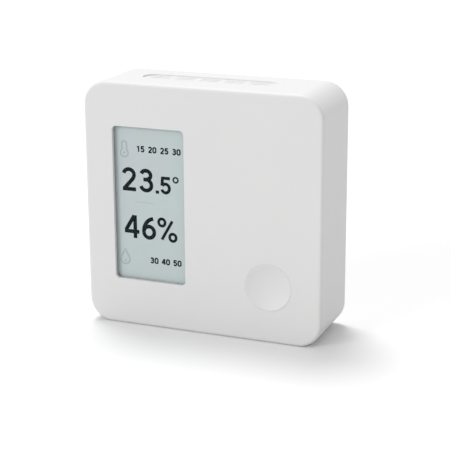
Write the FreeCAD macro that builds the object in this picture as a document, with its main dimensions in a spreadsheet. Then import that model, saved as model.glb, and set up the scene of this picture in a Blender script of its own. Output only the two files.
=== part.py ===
import FreeCAD, Part
import math
import operator
import os
import Sketcher
from FreeCAD import Placement, Rotation, Vector

# Room sensor in millimetres: X to the right, Y to the back, Z up.
# The origin is the middle of the footprint, on the surface that the case stands on.

# Driving dimensions: name, value, meaning
SIZES = (
    ("case_width", 78.0, "outside width"),
    ("case_height", 78.0, "outside height"),
    ("corner_radius", 7.5, "outside corners, seen from the front"),
    ("front_edge_radius", 1.0, "rounding between the front and the sides"),
    ("rear_edge_radius", 0.4, "rounding of the rear rim"),
    ("rim_radius", 0.15, "rounding of the window's front edge"),
    ("front_wall", 2.0, "thickness of the front"),
    ("side_wall", 2.0, "thickness of the four sides"),
    ("window_width", 24.0, "display opening"),
    ("window_height", 49.3, "display opening"),
    ("window_radius", 1.4, "corners of the display opening"),
    ("window_from_side", 9.5, "left face to the opening"),
    ("window_from_bottom", 15.05, "bottom face to the opening"),
    ("window_ledge", 1.1, "front wall left in front of the lens"),
    ("lens_margin", 1.5, "lens past the opening on each side"),
    ("lens_clearance", 0.1, "lens to its pocket"),
    ("tape_thickness", 0.15, "adhesive ring"),
    ("lens_thickness", 0.6, "clear window"),
    ("film_thickness", 0.6, "display laminate"),
    ("glass_thickness", 0.5, "display back glass"),
    ("glass_border", 2.6, "glass past the opening at the sides"),
    ("glass_top_border", 2.3, "glass past the opening at the top"),
    ("glass_ledge", 8.4, "glass past the opening at the connector end"),
    ("driver_length", 11.0, "driver chip"),
    ("driver_height", 1.2, "driver chip"),
    ("driver_thickness", 0.35, "driver chip"),
    ("driver_rise", 3.0, "driver chip above the glass's lower edge"),
    ("carrier_thickness", 2.25, "display carrier, glass to board"),
    ("carrier_lip", 1.0, "lips over the glass's ends"),
    ("carrier_clearance", 0.15, "lips to the glass"),
    ("carrier_rail", 3.2, "rails round the carrier's openings"),
    ("carrier_foot_gap", 1.0, "space for the flat cable under the carrier"),
    ("flex_width", 11.5, "flat cable"),
    ("flex_thickness", 0.12, "flat cable"),
    ("flex_lap", 2.4, "flat cable bonded to the glass"),
    ("flex_tail", 3.6, "flat cable past the board's edge, up to its plug"),
    ("flex_plug_depth", 1.4, "flat cable inside its plug"),
    ("plug_width", 14.0, "flat cable connector"),
    ("plug_height", 4.2, "flat cable connector"),
    ("plug_thickness", 1.2, "flat cable connector"),
    ("plug_slot_gap", 0.1, "room round the cable in its plug"),
    ("board_thickness", 1.2, "main board"),
    ("board_clearance", 0.6, "board to the side walls"),
    ("board_notch_gap", 1.0, "room beside the flat cable"),
    ("boss_radius", 1.9, "screw posts"),
    ("boss_from_ends", 12.0, "screw posts from the bottom and top faces"),
    ("boss_from_side", 4.5, "right screw posts from the side face"),
    ("boss_hole_depth", 3.7, "screw holes in the posts"),
    ("screw_core", 0.95, "hole in the post"),
    ("screw_radius", 0.9, "screw shank"),
    ("screw_head_radius", 1.6, "screw head"),
    ("screw_head_height", 1.1, "screw head"),
    ("screw_reach", 2.9, "screw past the board's front"),
    ("screw_recess", 0.5, "cross recess depth"),
    ("screw_cross", 0.45, "cross recess width"),
    ("screw_gap", 0.2, "screw in the board and the chassis"),
    ("button_from_side", 17.0, "key centre from the right face"),
    ("button_from_bottom", 17.8, "key centre from the bottom face"),
    ("button_radius", 7.45, "key"),
    ("button_gap", 0.05, "key to its hole"),
    ("dish_depth", 0.85, "hollow of the key"),
    ("dish_rim", 0.25, "flat ring round the hollow"),
    ("flange_width", 0.95, "key's flange past its wall"),
    ("flange_thickness", 0.6, "key's flange"),
    ("flange_gap", 0.05, "flange to the front wall"),
    ("button_skin", 1.0, "key under the middle of the hollow"),
    ("stem_radius", 2.0, "post on the key's back"),
    ("button_wall", 1.0, "key's outer wall"),
    ("button_play", 0.05, "post to the switch"),
    ("switch_width", 6.0, "switch body"),
    ("switch_height", 1.7, "switch body off the board"),
    ("plunger_radius", 1.6, "switch plunger"),
    ("plunger_rise", 0.5, "plunger above the body"),
    ("plunger_depth", 0.5, "plunger inside the body"),
    ("plunger_gap", 0.08, "plunger to its hole"),
    ("plunger_room", 0.45, "room under the plunger"),
    ("vent_length", 44.0, "recess in the top"),
    ("vent_width", 7.8, "recess in the top"),
    ("vent_offset", -2.4, "recess centre from the middle of the case"),
    ("vent_from_front", 13.3, "recess centre from the front face"),
    ("vent_recess", 0.4, "depth of the recess"),
    ("slit_width", 0.5, "vent slits"),
    ("slit_length", 6.4, "vent slits"),
    ("slit_pitch", 8.2, "vent slits along the recess"),
    ("slit_row_pitch", 2.1, "rows of slits"),
    ("membrane_margin", 1.2, "dust sheet past the recess"),
    ("membrane_thickness", 0.3, "dust sheet"),
    ("battery_radius", 7.25, "battery"),
    ("battery_length", 50.5, "battery with its cap"),
    ("battery_cap_radius", 2.75, "battery's plus cap"),
    ("battery_cap_height", 1.4, "battery's plus cap"),
    ("battery_groove", 0.3, "crimp groove near the plus end"),
    ("battery_groove_width", 0.9, "crimp groove"),
    ("battery_groove_from_end", 2.2, "crimp groove from the plus shoulder"),
    ("battery_edge", 0.6, "rounding of the battery's ends"),
    ("battery_gap", 0.2, "battery to its trough"),
    ("battery_spacing", 15.4, "axis to axis"),
    ("trough_floor", 0.9, "chassis under a battery"),
    ("spring_space", 3.6, "battery's minus end to its plate"),
    ("contact_thickness", 0.4, "contact plates"),
    ("contact_width", 10.0, "contact plates"),
    ("contact_rise", 11.0, "contact plates above the chassis"),
    ("contact_gap", 0.1, "plus cap to its plate"),
    ("spring_wire", 0.7, "contact spring wire"),
    ("spring_base_radius", 4.2, "contact spring at the plate"),
    ("spring_tip_radius", 2.4, "contact spring at the battery"),
    ("spring_turns", 3.0, "contact spring"),
    ("chassis_clearance", 0.5, "chassis to the side walls"),
    ("chassis_base", 1.6, "chassis plate"),
    ("saddle_height", 2.6, "battery saddles above the plate"),
    ("bay_wall", 1.2, "walls round the batteries"),
    ("bay_wall_drop", 4.4, "side walls below the batteries' backs"),
    ("end_wall_drop", 1.6, "end walls below the batteries' backs"),
    ("bay_from_top", 10.0, "battery bay from the top face"),
    ("rail_height", 7.2, "lower rail of the chassis"),
    ("rail_width", 7.4, "side rails of the chassis"),
    ("sensor_window_width", 26.0, "chassis opening behind the sensor"),
    ("sensor_window_rail", 1.6, "chassis above that opening"),
    ("socket_spacing", 56.0, "sockets for the wall plate, side to side"),
    ("socket_from_ends", 5.8, "sockets from the bottom and top faces"),
    ("socket_wall", 1.1, "socket wall"),
    ("pin_radius", 1.6, "push pins of the wall plate"),
    ("pin_gap", 0.08, "pin to its socket"),
    ("pin_length", 10.0, "push pins"),
    ("pin_chamfer", 0.5, "pin tips"),
    ("pin_room", 1.0, "socket past the pin's tip"),
    ("rear_space", 0.4, "batteries to the wall plate"),
    ("plate_thickness", 2.1, "wall plate"),
    ("plate_clearance", 0.25, "wall plate to the side walls"),
    ("plate_edge", 0.3, "rounding of the wall plate's back"),
    ("wall_screw_from_side", 9.0, "wall screw slots from the side faces"),
    ("wall_screw_below_bay", 6.4, "wall screw slots below the battery bay"),
    ("wall_slot_width", 4.2, "wall screw slot"),
    ("wall_slot_length", 7.0, "wall screw slot, end to end"),
    ("wall_slot_rim", 1.8, "recess round a slot for the screw head"),
    ("wall_slot_sink", 0.9, "depth of that recess"),
    ("tape_recess", 0.5, "flat recesses for adhesive on the back"),
    ("tape_recess_width", 48.0, "adhesive recess"),
    ("tape_recess_height", 12.0, "adhesive recess"),
    ("tape_recess_from_ends", 16.0, "adhesive recess centre from the bottom and top faces"),
    ("plate_rib_height", 1.6, "stiffening ribs inside the wall plate"),
    ("plate_rib_width", 1.2, "stiffening ribs"),
    ("plate_rib_length", 40.0, "stiffening ribs"),
    ("plate_rib_pitch", 5.0, "stiffening ribs"),
    ("notch_width", 12.0, "release notch in the bottom rim"),
    ("notch_depth", 1.6, "release notch"),
    ("radio_width", 16.0, "radio board"),
    ("radio_height", 16.0, "radio board"),
    ("radio_thickness", 0.8, "radio board"),
    ("radio_from_capacitor", 3.0, "radio board from the buffer capacitor"),
    ("radio_below_bay", 1.8, "radio board below the battery bay"),
    ("shield_inset", 1.2, "shield inside the radio board's edge"),
    ("shield_height", 2.2, "shield"),
    ("shield_wall", 0.3, "shield's sheet"),
    ("capacitor_radius", 4.0, "buffer capacitor"),
    ("capacitor_length", 20.0, "buffer capacitor"),
    ("capacitor_from_rail", 1.5, "buffer capacitor from the left rail"),
    ("capacitor_below_bay", 8.0, "buffer capacitor's axis below the bay"),
    ("capacitor_lift", 0.05, "buffer capacitor off the board"),
    ("capacitor_groove", 0.35, "crimp in the capacitor's can"),
    ("antenna_radius", 2.6, "antenna coil, at the middle of its wire"),
    ("antenna_wire", 0.8, "antenna wire"),
    ("antenna_turns", 6.0, "antenna coil"),
    ("antenna_pitch", 2.0, "antenna coil"),
    ("antenna_from_side", 16.5, "antenna from the right face"),
    ("antenna_above_rail", 6.0, "antenna above the lower rail"),
    ("crystal_length", 8.0, "crystal can"),
    ("crystal_radius", 1.5, "crystal can"),
    ("chip_inset", 8.0, "chips from the display glass"),
    ("chip_from_top", 20.0, "controller below the top face"),
    ("controller_width", 7.0, "controller"),
    ("controller_thickness", 0.9, "controller"),
    ("chip_gap", 4.0, "between the chips"),
    ("memory_width", 5.0, "memory"),
    ("regulator_width", 3.0, "regulator"),
    ("coil_width", 4.0, "supply coil"),
    ("coil_height", 1.8, "supply coil"),
    ("part_length", 2.0, "supply capacitors"),
    ("part_width", 1.25, "supply capacitors"),
    ("part_pitch", 3.0, "supply capacitors"),
    ("sensor_board_width", 14.0, "sensor board"),
    ("sensor_board_height", 4.4, "sensor board"),
    ("sensor_board_thickness", 0.8, "sensor board"),
    ("sensor_board_from_top", 4.7, "sensor board below the top face"),
    ("sensor_width", 2.5, "humidity sensor"),
    ("sensor_thickness", 0.9, "humidity sensor"),
    ("sensor_port", 0.5, "radius of its air port"),
    ("gasket_width", 9.0, "foam ring"),
    ("gasket_wall", 0.8, "foam ring"),
    ("gasket_height", 1.6, "foam ring"),
)

SLIT_COLUMNS = 5
SLIT_ROWS = 3
PLATE_RIBS = 3
SUPPLY_CAPACITORS = 4
COIL_POINTS = 16
TOLERANCE = 1e-4

DOC = FreeCAD.newDocument("room_sensor")
SHEET = DOC.addObject("Spreadsheet::Sheet", "Sizes")
NODES = {}

OPERATIONS = {
    "+": operator.add,
    "-": operator.sub,
    "*": operator.mul,
    "/": operator.truediv,
}


class Length:
    """A length with its value in millimetres and the sheet expression that gives it."""

    def __init__(self, value, text):
        self.value = value
        self.text = text

    def joined(self, sign, other, swapped=False):
        left, right = self, as_length(other)
        if swapped:
            left, right = right, left
        value = OPERATIONS[sign](left.value, right.value)
        return Length(value, f"({left.text} {sign} {right.text})")

    def __add__(self, other):
        return self.joined("+", other)

    def __radd__(self, other):
        return self.joined("+", other, swapped=True)

    def __sub__(self, other):
        return self.joined("-", other)

    def __rsub__(self, other):
        return self.joined("-", other, swapped=True)

    def __mul__(self, other):
        return self.joined("*", other)

    def __rmul__(self, other):
        return self.joined("*", other, swapped=True)

    def __truediv__(self, other):
        return self.joined("/", other)

    def __neg__(self):
        return self.joined("-", 0, swapped=True)


def as_length(value):
    if isinstance(value, Length):
        return value
    return Length(float(value), repr(float(value)))


class Sizes:
    """The driving dimensions, each one a cell of the sheet."""

    def __init__(self):
        for row, (name, value, meaning) in enumerate(SIZES, start=1):
            SHEET.set(f"A{row}", name)
            SHEET.set(f"B{row}", str(value))
            SHEET.set(f"C{row}", meaning)
            SHEET.setAlias(f"B{row}", name)
            setattr(self, name, Length(value, f"Sizes.{name}"))
        DOC.recompute()


S = Sizes()
ZERO = as_length(0)

# Stations from front to back
TROUGH_DEPTH = S.trough_floor + S.battery_gap + 2 * S.battery_radius
STACK = (S.window_ledge + S.tape_thickness + S.lens_thickness + S.film_thickness + S.glass_thickness
         + S.carrier_thickness + S.board_thickness)
CASE_DEPTH = STACK + TROUGH_DEPTH + S.rear_space + S.plate_thickness
FRONT = -CASE_DEPTH / 2
BACK = CASE_DEPTH / 2
INNER_FRONT = FRONT + S.front_wall
LEDGE_BACK = FRONT + S.window_ledge
LENS_FRONT = LEDGE_BACK + S.tape_thickness
FILM_FRONT = LENS_FRONT + S.lens_thickness
GLASS_FRONT = FILM_FRONT + S.film_thickness
CARRIER_FRONT = GLASS_FRONT + S.glass_thickness
BOARD_FRONT = CARRIER_FRONT + S.carrier_thickness
BOARD_BACK = BOARD_FRONT + S.board_thickness
CHASSIS_BACK = BOARD_BACK + S.chassis_base
BATTERY_Y = BOARD_BACK + S.trough_floor + S.battery_gap + S.battery_radius
PLATE_FRONT = BACK - S.plate_thickness
SWITCH_FRONT = BOARD_FRONT - S.switch_height
PLUNGER_FRONT = SWITCH_FRONT - S.plunger_rise

# Places across and up the case
LEFT = -S.case_width / 2
RIGHT = S.case_width / 2
INNER_LEFT = LEFT + S.side_wall
INNER_RIGHT = RIGHT - S.side_wall
INNER_TOP = S.case_height - S.side_wall
WINDOW_LEFT = LEFT + S.window_from_side
WINDOW_RIGHT = WINDOW_LEFT + S.window_width
WINDOW_BOTTOM = S.window_from_bottom
WINDOW_TOP = WINDOW_BOTTOM + S.window_height
WINDOW_X = (WINDOW_LEFT + WINDOW_RIGHT) / 2
GLASS_LEFT = WINDOW_LEFT - S.glass_border
GLASS_RIGHT = WINDOW_RIGHT + S.glass_border
GLASS_BOTTOM = WINDOW_BOTTOM - S.glass_ledge
GLASS_TOP = WINDOW_TOP + S.glass_top_border
BUTTON_X = RIGHT - S.button_from_side
BUTTON_Z = S.button_from_bottom
BOSS_LEFT = (INNER_LEFT + GLASS_LEFT) / 2
BOSS_RIGHT = RIGHT - S.boss_from_side
BOSS_LOW = S.boss_from_ends
BOSS_HIGH = S.case_height - S.boss_from_ends
SCREW_PLACES = tuple((x, z) for x in (BOSS_LEFT, BOSS_RIGHT) for z in (BOSS_LOW, BOSS_HIGH))
BAY_HEIGHT = S.battery_spacing + 2 * (S.battery_radius + S.battery_gap)
BAY_TOP = S.case_height - S.bay_from_top - S.bay_wall
BAY_BOTTOM = BAY_TOP - BAY_HEIGHT
BAY_UNDERSIDE = BAY_BOTTOM - S.bay_wall
BAY_LENGTH = S.battery_length + S.spring_space + 2 * S.contact_thickness + S.contact_gap
UPPER_BATTERY_Z = BAY_TOP - S.battery_gap - S.battery_radius
LOWER_BATTERY_Z = UPPER_BATTERY_Z - S.battery_spacing
RAIL_TOP = S.side_wall + S.rail_height
RAIL_LEFT = INNER_LEFT + S.rail_width
RAIL_RIGHT = INNER_RIGHT - S.rail_width
SOCKET_LOW = S.socket_from_ends
SOCKET_HIGH = S.case_height - S.socket_from_ends
SOCKET_RIGHT = S.socket_spacing / 2
SOCKET_RADIUS = S.pin_radius + S.pin_gap + S.socket_wall
SOCKET_PLACES = tuple((x, z) for x in (-SOCKET_RIGHT, SOCKET_RIGHT) for z in (SOCKET_LOW, SOCKET_HIGH))
SLOT_X = RIGHT - S.wall_screw_from_side
SLOT_Z = BAY_UNDERSIDE - S.wall_screw_below_bay
VENT_Y = FRONT + S.vent_from_front


def bind(item, prop, length):
    """Ties one property of an object to the sheet."""
    item.setExpression(prop, as_length(length).text)


def edge_names(shape, wanted):
    """Names of the edges for which wanted(edge) is true."""
    names = [f"Edge{number}" for number, edge in enumerate(shape.Edges, start=1) if wanted(edge)]
    if not names:
        raise RuntimeError("no edge found")
    return names


def in_plane(axis, place):
    """A test for edges that lie in the plane where axis (0, 1 or 2) equals place."""
    def wanted(edge):
        box = edge.BoundBox
        low = (box.XMin, box.YMin, box.ZMin)[axis]
        high = (box.XMax, box.YMax, box.ZMax)[axis]
        return abs(low - place.value) < TOLERANCE and abs(high - place.value) < TOLERANCE
    return wanted


# Outlines for sketches

def polygon(points, arcs=None):
    """A closed outline; arcs gives some stretches a (radius, turn), where turn 1 bends to the left."""
    return {"points": [(as_length(a), as_length(b)) for a, b in points], "arcs": arcs or {}}


def rectangle(a0, a1, b0, b1):
    return polygon([(a0, b0), (a1, b0), (a1, b1), (a0, b1)])


def rounded(a0, a1, b0, b1, radius):
    """A rectangle with four equal round corners."""
    points = [(a0 + radius, b0), (a1 - radius, b0), (a1, b0 + radius), (a1, b1 - radius),
              (a1 - radius, b1), (a0 + radius, b1), (a0, b1 - radius), (a0, b0 + radius)]
    return polygon(points, {number: (radius, 1) for number in (1, 3, 5, 7)})


def slot(a, b, length, width):
    """A slot with round ends along the sketch's first axis, centred on (a, b)."""
    radius = width / 2
    reach = length / 2
    points = [(a - reach + radius, b - radius), (a + reach - radius, b - radius), (a + reach, b),
              (a + reach - radius, b + radius), (a - reach + radius, b + radius), (a - reach, b)]
    return polygon(points, {number: (radius, 1) for number in (1, 2, 4, 5)})


def disc(a, b, radius):
    return {"centre": (as_length(a), as_length(b)), "radius": as_length(radius)}


def place_point(sketch, geometry, position, a, b):
    """Ties a point to the sketch's origin."""
    for kind, length, axis in (("DistanceX", a, -2), ("DistanceY", b, -1)):
        if length.text == ZERO.text:
            sketch.addConstraint(Sketcher.Constraint("PointOnObject", geometry, position, axis))
            continue
        number = sketch.addConstraint(Sketcher.Constraint(kind, -1, 1, geometry, position, length.value))
        sketch.setExpression(f"Constraints[{number}]", length.text)


def arc_between(start, end, radius, turn):
    """An arc of under half a circle from start to end, and the numbers of its first and last points."""
    middle = (start + end) / 2
    chord = end - start
    rise = math.sqrt(max(radius * radius - chord.Length * chord.Length / 4, 0))
    side = Vector(-chord.y, chord.x, 0).normalize()
    centre = middle + side * rise * turn
    first, last = (start, end) if turn > 0 else (end, start)
    angles = [math.atan2(point.y - centre.y, point.x - centre.x) for point in (first, last)]
    arc = Part.ArcOfCircle(Part.Circle(centre, Vector(0, 0, 1), radius), angles[0], angles[1])
    return (arc, 1, 2) if turn > 0 else (arc, 2, 1)


def draw(sketch, outline):
    """Adds one outline to a sketch, with its constraints tied to the sheet."""
    if "centre" in outline:
        a, b = outline["centre"]
        radius = outline["radius"]
        circle = Part.Circle(Vector(a.value, b.value, 0), Vector(0, 0, 1), radius.value)
        number = sketch.addGeometry(circle, False)
        place_point(sketch, number, 3, a, b)
        row = sketch.addConstraint(Sketcher.Constraint("Radius", number, radius.value))
        sketch.setExpression(f"Constraints[{row}]", radius.text)
        return
    points = outline["points"]
    ends = []
    for number, (a, b) in enumerate(points):
        next_a, next_b = points[(number + 1) % len(points)]
        start = Vector(a.value, b.value, 0)
        end = Vector(next_a.value, next_b.value, 0)
        if number in outline["arcs"]:
            radius, turn = outline["arcs"][number]
            curve, first, last = arc_between(start, end, radius.value, turn)
        else:
            radius = None
            curve, first, last = Part.LineSegment(start, end), 1, 2
        geometry = sketch.addGeometry(curve, False)
        ends.append((geometry, first, last, radius))
    for number, (geometry, first, last, radius) in enumerate(ends):
        a, b = points[number]
        place_point(sketch, geometry, first, a, b)
        next_geometry, next_first = ends[(number + 1) % len(ends)][:2]
        sketch.addConstraint(Sketcher.Constraint("Coincident", geometry, last, next_geometry, next_first))
        if radius is not None:
            row = sketch.addConstraint(Sketcher.Constraint("Radius", geometry, radius.value))
            sketch.setExpression(f"Constraints[{row}]", radius.text)


class Piece:
    """One moulded or cut piece, built up from sketches on its own origin planes."""

    def __init__(self, name):
        self.name = name
        self.count = 0
        self.body = DOC.addObject("PartDesign::Body", name)
        NODES[name] = self.body

    def sketch(self, plane, at, outlines):
        self.count += 1
        sketch = self.body.newObject("Sketcher::SketchObject", f"{self.name}_sketch_{self.count}")
        support = [item for item in self.body.Origin.OriginFeatures if item.Role == f"{plane}_Plane"][0]
        sketch.AttachmentSupport = [(support, "")]
        sketch.MapMode = "FlatFace"
        offset = -as_length(at) if plane == "XZ" else as_length(at)
        bind(sketch, "AttachmentOffset.Base.z", offset)
        for outline in outlines:
            draw(sketch, outline)
        return sketch

    def feature(self, kind, sketch):
        item = self.body.newObject(f"PartDesign::{kind}", f"{self.name}_{kind.lower()}_{self.count}")
        item.Profile = sketch
        return item

    def pad(self, plane, at, outlines, length, towards):
        """Adds material from a plane, towards the axis's plus (1) or minus (-1) side."""
        item = self.feature("Pad", self.sketch(plane, at, outlines))
        bind(item, "Length", length)
        item.Reversed = (towards < 0) != (plane == "XZ")
        DOC.recompute()
        return item

    def pocket(self, plane, at, outlines, length, towards):
        """Takes material away from a plane, towards the axis's plus (1) or minus (-1) side."""
        before = self.body.Shape.Volume
        item = self.feature("Pocket", self.sketch(plane, at, outlines))
        bind(item, "Length", length)
        item.Reversed = (towards > 0) != (plane == "XZ")
        DOC.recompute()
        if not self.body.Shape.Volume < before - TOLERANCE:
            raise RuntimeError(f"{item.Name} cuts nothing")
        return item

    def row(self, original, sketch_axis, span, copies):
        """Repeats a feature along an axis of its sketch."""
        pattern = self.body.newObject("PartDesign::LinearPattern", f"{original.Name}_row")
        pattern.Originals = [original]
        pattern.Direction = (original.Profile[0], [sketch_axis])
        pattern.Occurrences = copies
        bind(pattern, "Length", span)
        self.body.Tip = pattern
        DOC.recompute()
        return pattern

    def soften(self, kind, wanted, size):
        """A fillet or chamfer on the edges for which wanted(edge) is true."""
        base = self.body.Tip
        self.count += 1
        item = self.body.newObject(f"PartDesign::{kind}", f"{self.name}_{kind.lower()}_{self.count}")
        item.Base = (base, edge_names(base.Shape, wanted))
        bind(item, "Radius" if kind == "Fillet" else "Size", size)
        DOC.recompute()
        return item

    def turn(self, outline):
        """Turns an outline on the XY plane about the Y axis."""
        sketch = self.sketch("XY", 0, [outline])
        item = self.feature("Revolution", sketch)
        item.ReferenceAxis = (sketch, ["V_Axis"])
        DOC.recompute()
        return item

    def move(self, x, y, z):
        for axis, length in (("x", x), ("y", y), ("z", z)):
            bind(self.body, f"Placement.Base.{axis}", length)


# Plain solids

AXES = {
    "X": Rotation(Vector(0, 1, 0), 90),
    "Y": Rotation(Vector(1, 0, 0), -90),
    "Z": Rotation(),
}


def locate(item, x, y, z):
    for axis, length in (("x", x), ("y", y), ("z", z)):
        bind(item, f"Placement.Base.{axis}", length)


def block(name, x0, x1, y0, y1, z0, z1):
    """A box between two corners."""
    item = DOC.addObject("Part::Box", name)
    bind(item, "Length", as_length(x1) - x0)
    bind(item, "Width", as_length(y1) - y0)
    bind(item, "Height", as_length(z1) - z0)
    locate(item, x0, y0, z0)
    return item


def chip(name, x, z, width, height, y, thickness):
    """A box centred on (x, z), standing on the plane y; a negative thickness stands towards the front."""
    low, high = (y, y + thickness) if thickness.value > 0 else (y + thickness, y)
    return block(name, x - width / 2, x + width / 2, low, high, z - height / 2, z + height / 2)


def rod(name, axis, x, y, z, radius, length):
    """A cylinder from a point along an axis."""
    item = DOC.addObject("Part::Cylinder", name)
    bind(item, "Radius", radius)
    bind(item, "Height", length)
    item.Placement = Placement(Vector(), AXES[axis])
    locate(item, x, y, z)
    return item


def joined(name, items):
    item = DOC.addObject("Part::MultiFuse", name)
    item.Shapes = items
    item.Refine = True
    return item


def cut(name, base, tool):
    item = DOC.addObject("Part::Cut", name)
    item.Base = base
    item.Tool = tool
    item.Refine = True
    return item


def group(name, items):
    """Separate solids of one kind, kept in one node."""
    item = DOC.addObject("Part::Compound", name)
    item.Links = items
    return item


def coil(axis_turn, place, bottom_radius, top_radius, height, turns, wire):
    """A round wire wound into a helix or a cone of coils along its own Z axis."""
    count = round(turns * COIL_POINTS)
    points = []
    for number in range(count + 1):
        share = number / count
        angle = 2 * math.pi * turns * share
        radius = bottom_radius + (top_radius - bottom_radius) * share
        points.append(Vector(radius * math.cos(angle), radius * math.sin(angle), height * share))
    line = Part.BSplineCurve()
    line.interpolate(points)
    section = Part.Wire(Part.makeCircle(wire / 2, points[0], line.tangent(line.FirstParameter)[0]))
    shape = Part.Wire([line.toShape()]).makePipeShell([section], True, True)
    shape.Placement = Placement(place, axis_turn)
    return shape


def made(name, shape):
    """A solid worked out point by point, such as a wound wire."""
    item = DOC.addObject("Part::Feature", name)
    item.Shape = shape
    return item


def keep(name, item):
    item.Label = name
    NODES[name] = item


# The case

def front_cover():
    piece = Piece("front_cover")
    wall = S.side_wall
    piece.pad("XZ", FRONT, [rounded(LEFT, RIGHT, ZERO, S.case_height, S.corner_radius)], CASE_DEPTH, 1)
    piece.soften("Fillet", in_plane(1, FRONT), S.front_edge_radius)
    piece.soften("Fillet", in_plane(1, BACK), S.rear_edge_radius)
    inside = rounded(INNER_LEFT, INNER_RIGHT, wall, INNER_TOP, S.corner_radius - wall)
    piece.pocket("XZ", BACK, [inside], CASE_DEPTH - S.front_wall, -1)
    posts = [disc(x, z, S.boss_radius) for x, z in SCREW_PLACES]
    piece.pad("XZ", INNER_FRONT, posts, BOARD_FRONT - INNER_FRONT, 1)
    holes = [disc(x, z, S.screw_core) for x, z in SCREW_PLACES]
    piece.pocket("XZ", BOARD_FRONT, holes, S.boss_hole_depth, -1)
    window = window_outline(ZERO)
    key_hole = disc(BUTTON_X, BUTTON_Z, S.button_radius + S.button_gap)
    piece.pocket("XZ", FRONT, [window, key_hole], S.front_wall, 1)
    lens_seat = window_outline(S.lens_margin + S.lens_clearance)
    piece.pocket("XZ", INNER_FRONT, [lens_seat], S.front_wall - S.window_ledge, -1)
    piece.soften("Fillet", window_rim, S.rim_radius)
    vents(piece)
    notch = rectangle(-S.notch_width / 2, S.notch_width / 2, ZERO, wall)
    piece.pocket("XZ", BACK, [notch], S.notch_depth, -1)


def window_rim(edge):
    """True for the front edges of the window."""
    middle = edge.BoundBox.Center
    across = WINDOW_LEFT.value - TOLERANCE < middle.x < WINDOW_RIGHT.value + TOLERANCE
    upright = WINDOW_BOTTOM.value - TOLERANCE < middle.z < WINDOW_TOP.value + TOLERANCE
    return in_plane(1, FRONT)(edge) and across and upright


def vents(piece):
    """The recess in the top and its rows of slits."""
    recess = slot(S.vent_offset, VENT_Y, S.vent_length, S.vent_width)
    piece.pocket("XY", S.case_height, [recess], S.vent_recess, -1)
    span = S.slit_pitch * (SLIT_COLUMNS - 1)
    for number in range(SLIT_ROWS):
        y = VENT_Y + S.slit_row_pitch * (number - (SLIT_ROWS - 1) / 2)
        slit = slot(S.vent_offset - span / 2, y, S.slit_length, S.slit_width)
        first = piece.pocket("XY", S.case_height - S.vent_recess, [slit], S.side_wall - S.vent_recess, -1)
        piece.row(first, "H_Axis", span, SLIT_COLUMNS)


def vent_membrane():
    reach_x = S.vent_length / 2 + S.membrane_margin
    reach_y = S.vent_width / 2 + S.membrane_margin
    sheet = block("membrane", S.vent_offset - reach_x, S.vent_offset + reach_x, VENT_Y - reach_y,
                  VENT_Y + reach_y, INNER_TOP - S.membrane_thickness, INNER_TOP)
    keep("vent_membrane", sheet)


# The key and its switch

def button_cap():
    """Turned about its own axis, with the hollow in front and the flange and post behind."""
    piece = Piece("button_cap")
    hollow = S.button_radius - S.dish_rim
    sphere = (hollow * hollow + S.dish_depth * S.dish_depth) / (2 * S.dish_depth)
    flange_front = S.front_wall + S.flange_gap
    flange_back = flange_front + S.flange_thickness
    skin_back = S.dish_depth + S.button_skin
    inner = S.button_radius - S.button_wall
    outline = polygon([
        (ZERO, S.dish_depth),
        (hollow, ZERO),
        (S.button_radius, ZERO),
        (S.button_radius, flange_front),
        (S.button_radius + S.flange_width, flange_front),
        (S.button_radius + S.flange_width, flange_back),
        (inner, flange_back),
        (inner, skin_back),
        (S.stem_radius, skin_back),
        (S.stem_radius, PLUNGER_FRONT - FRONT - S.button_play),
        (ZERO, PLUNGER_FRONT - FRONT - S.button_play),
    ], {0: (sphere, 1)})
    piece.turn(outline)
    piece.move(BUTTON_X, FRONT, BUTTON_Z)


def switch():
    piece = Piece("switch_body")
    half = S.switch_width / 2
    shape = rectangle(BUTTON_X - half, BUTTON_X + half, BUTTON_Z - half, BUTTON_Z + half)
    piece.pad("XZ", SWITCH_FRONT, [shape], S.switch_height, 1)
    hole = disc(BUTTON_X, BUTTON_Z, S.plunger_radius + S.plunger_gap)
    piece.pocket("XZ", SWITCH_FRONT, [hole], S.plunger_depth + S.plunger_room, 1)
    plunger = rod("plunger", "Y", BUTTON_X, PLUNGER_FRONT, BUTTON_Z, S.plunger_radius,
                  S.plunger_rise + S.plunger_depth)
    keep("switch_plunger", plunger)


# The display

def window_outline(margin):
    """The display opening, larger by a margin on every side."""
    return rounded(WINDOW_LEFT - margin, WINDOW_RIGHT + margin, WINDOW_BOTTOM - margin, WINDOW_TOP + margin,
                   S.window_radius)


def display():
    lens = Piece("display_lens")
    outline = window_outline(S.lens_margin)
    lens.pad("XZ", LENS_FRONT, [outline], S.lens_thickness, 1)
    tape = Piece("display_tape")
    tape.pad("XZ", LEDGE_BACK, [outline], S.tape_thickness, 1)
    tape.pocket("XZ", LEDGE_BACK, [window_outline(S.lens_clearance)], S.tape_thickness, 1)
    film = Piece("e_paper_film")
    film.pad("XZ", FILM_FRONT, [outline], S.film_thickness, 1)
    glass = block("glass", GLASS_LEFT, GLASS_RIGHT, GLASS_FRONT, CARRIER_FRONT, GLASS_BOTTOM, GLASS_TOP)
    keep("panel_glass", glass)
    driver = chip("driver", WINDOW_X, GLASS_BOTTOM + S.driver_rise, S.driver_length, S.driver_height,
                  GLASS_FRONT, -S.driver_thickness)
    keep("panel_driver", driver)


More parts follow.
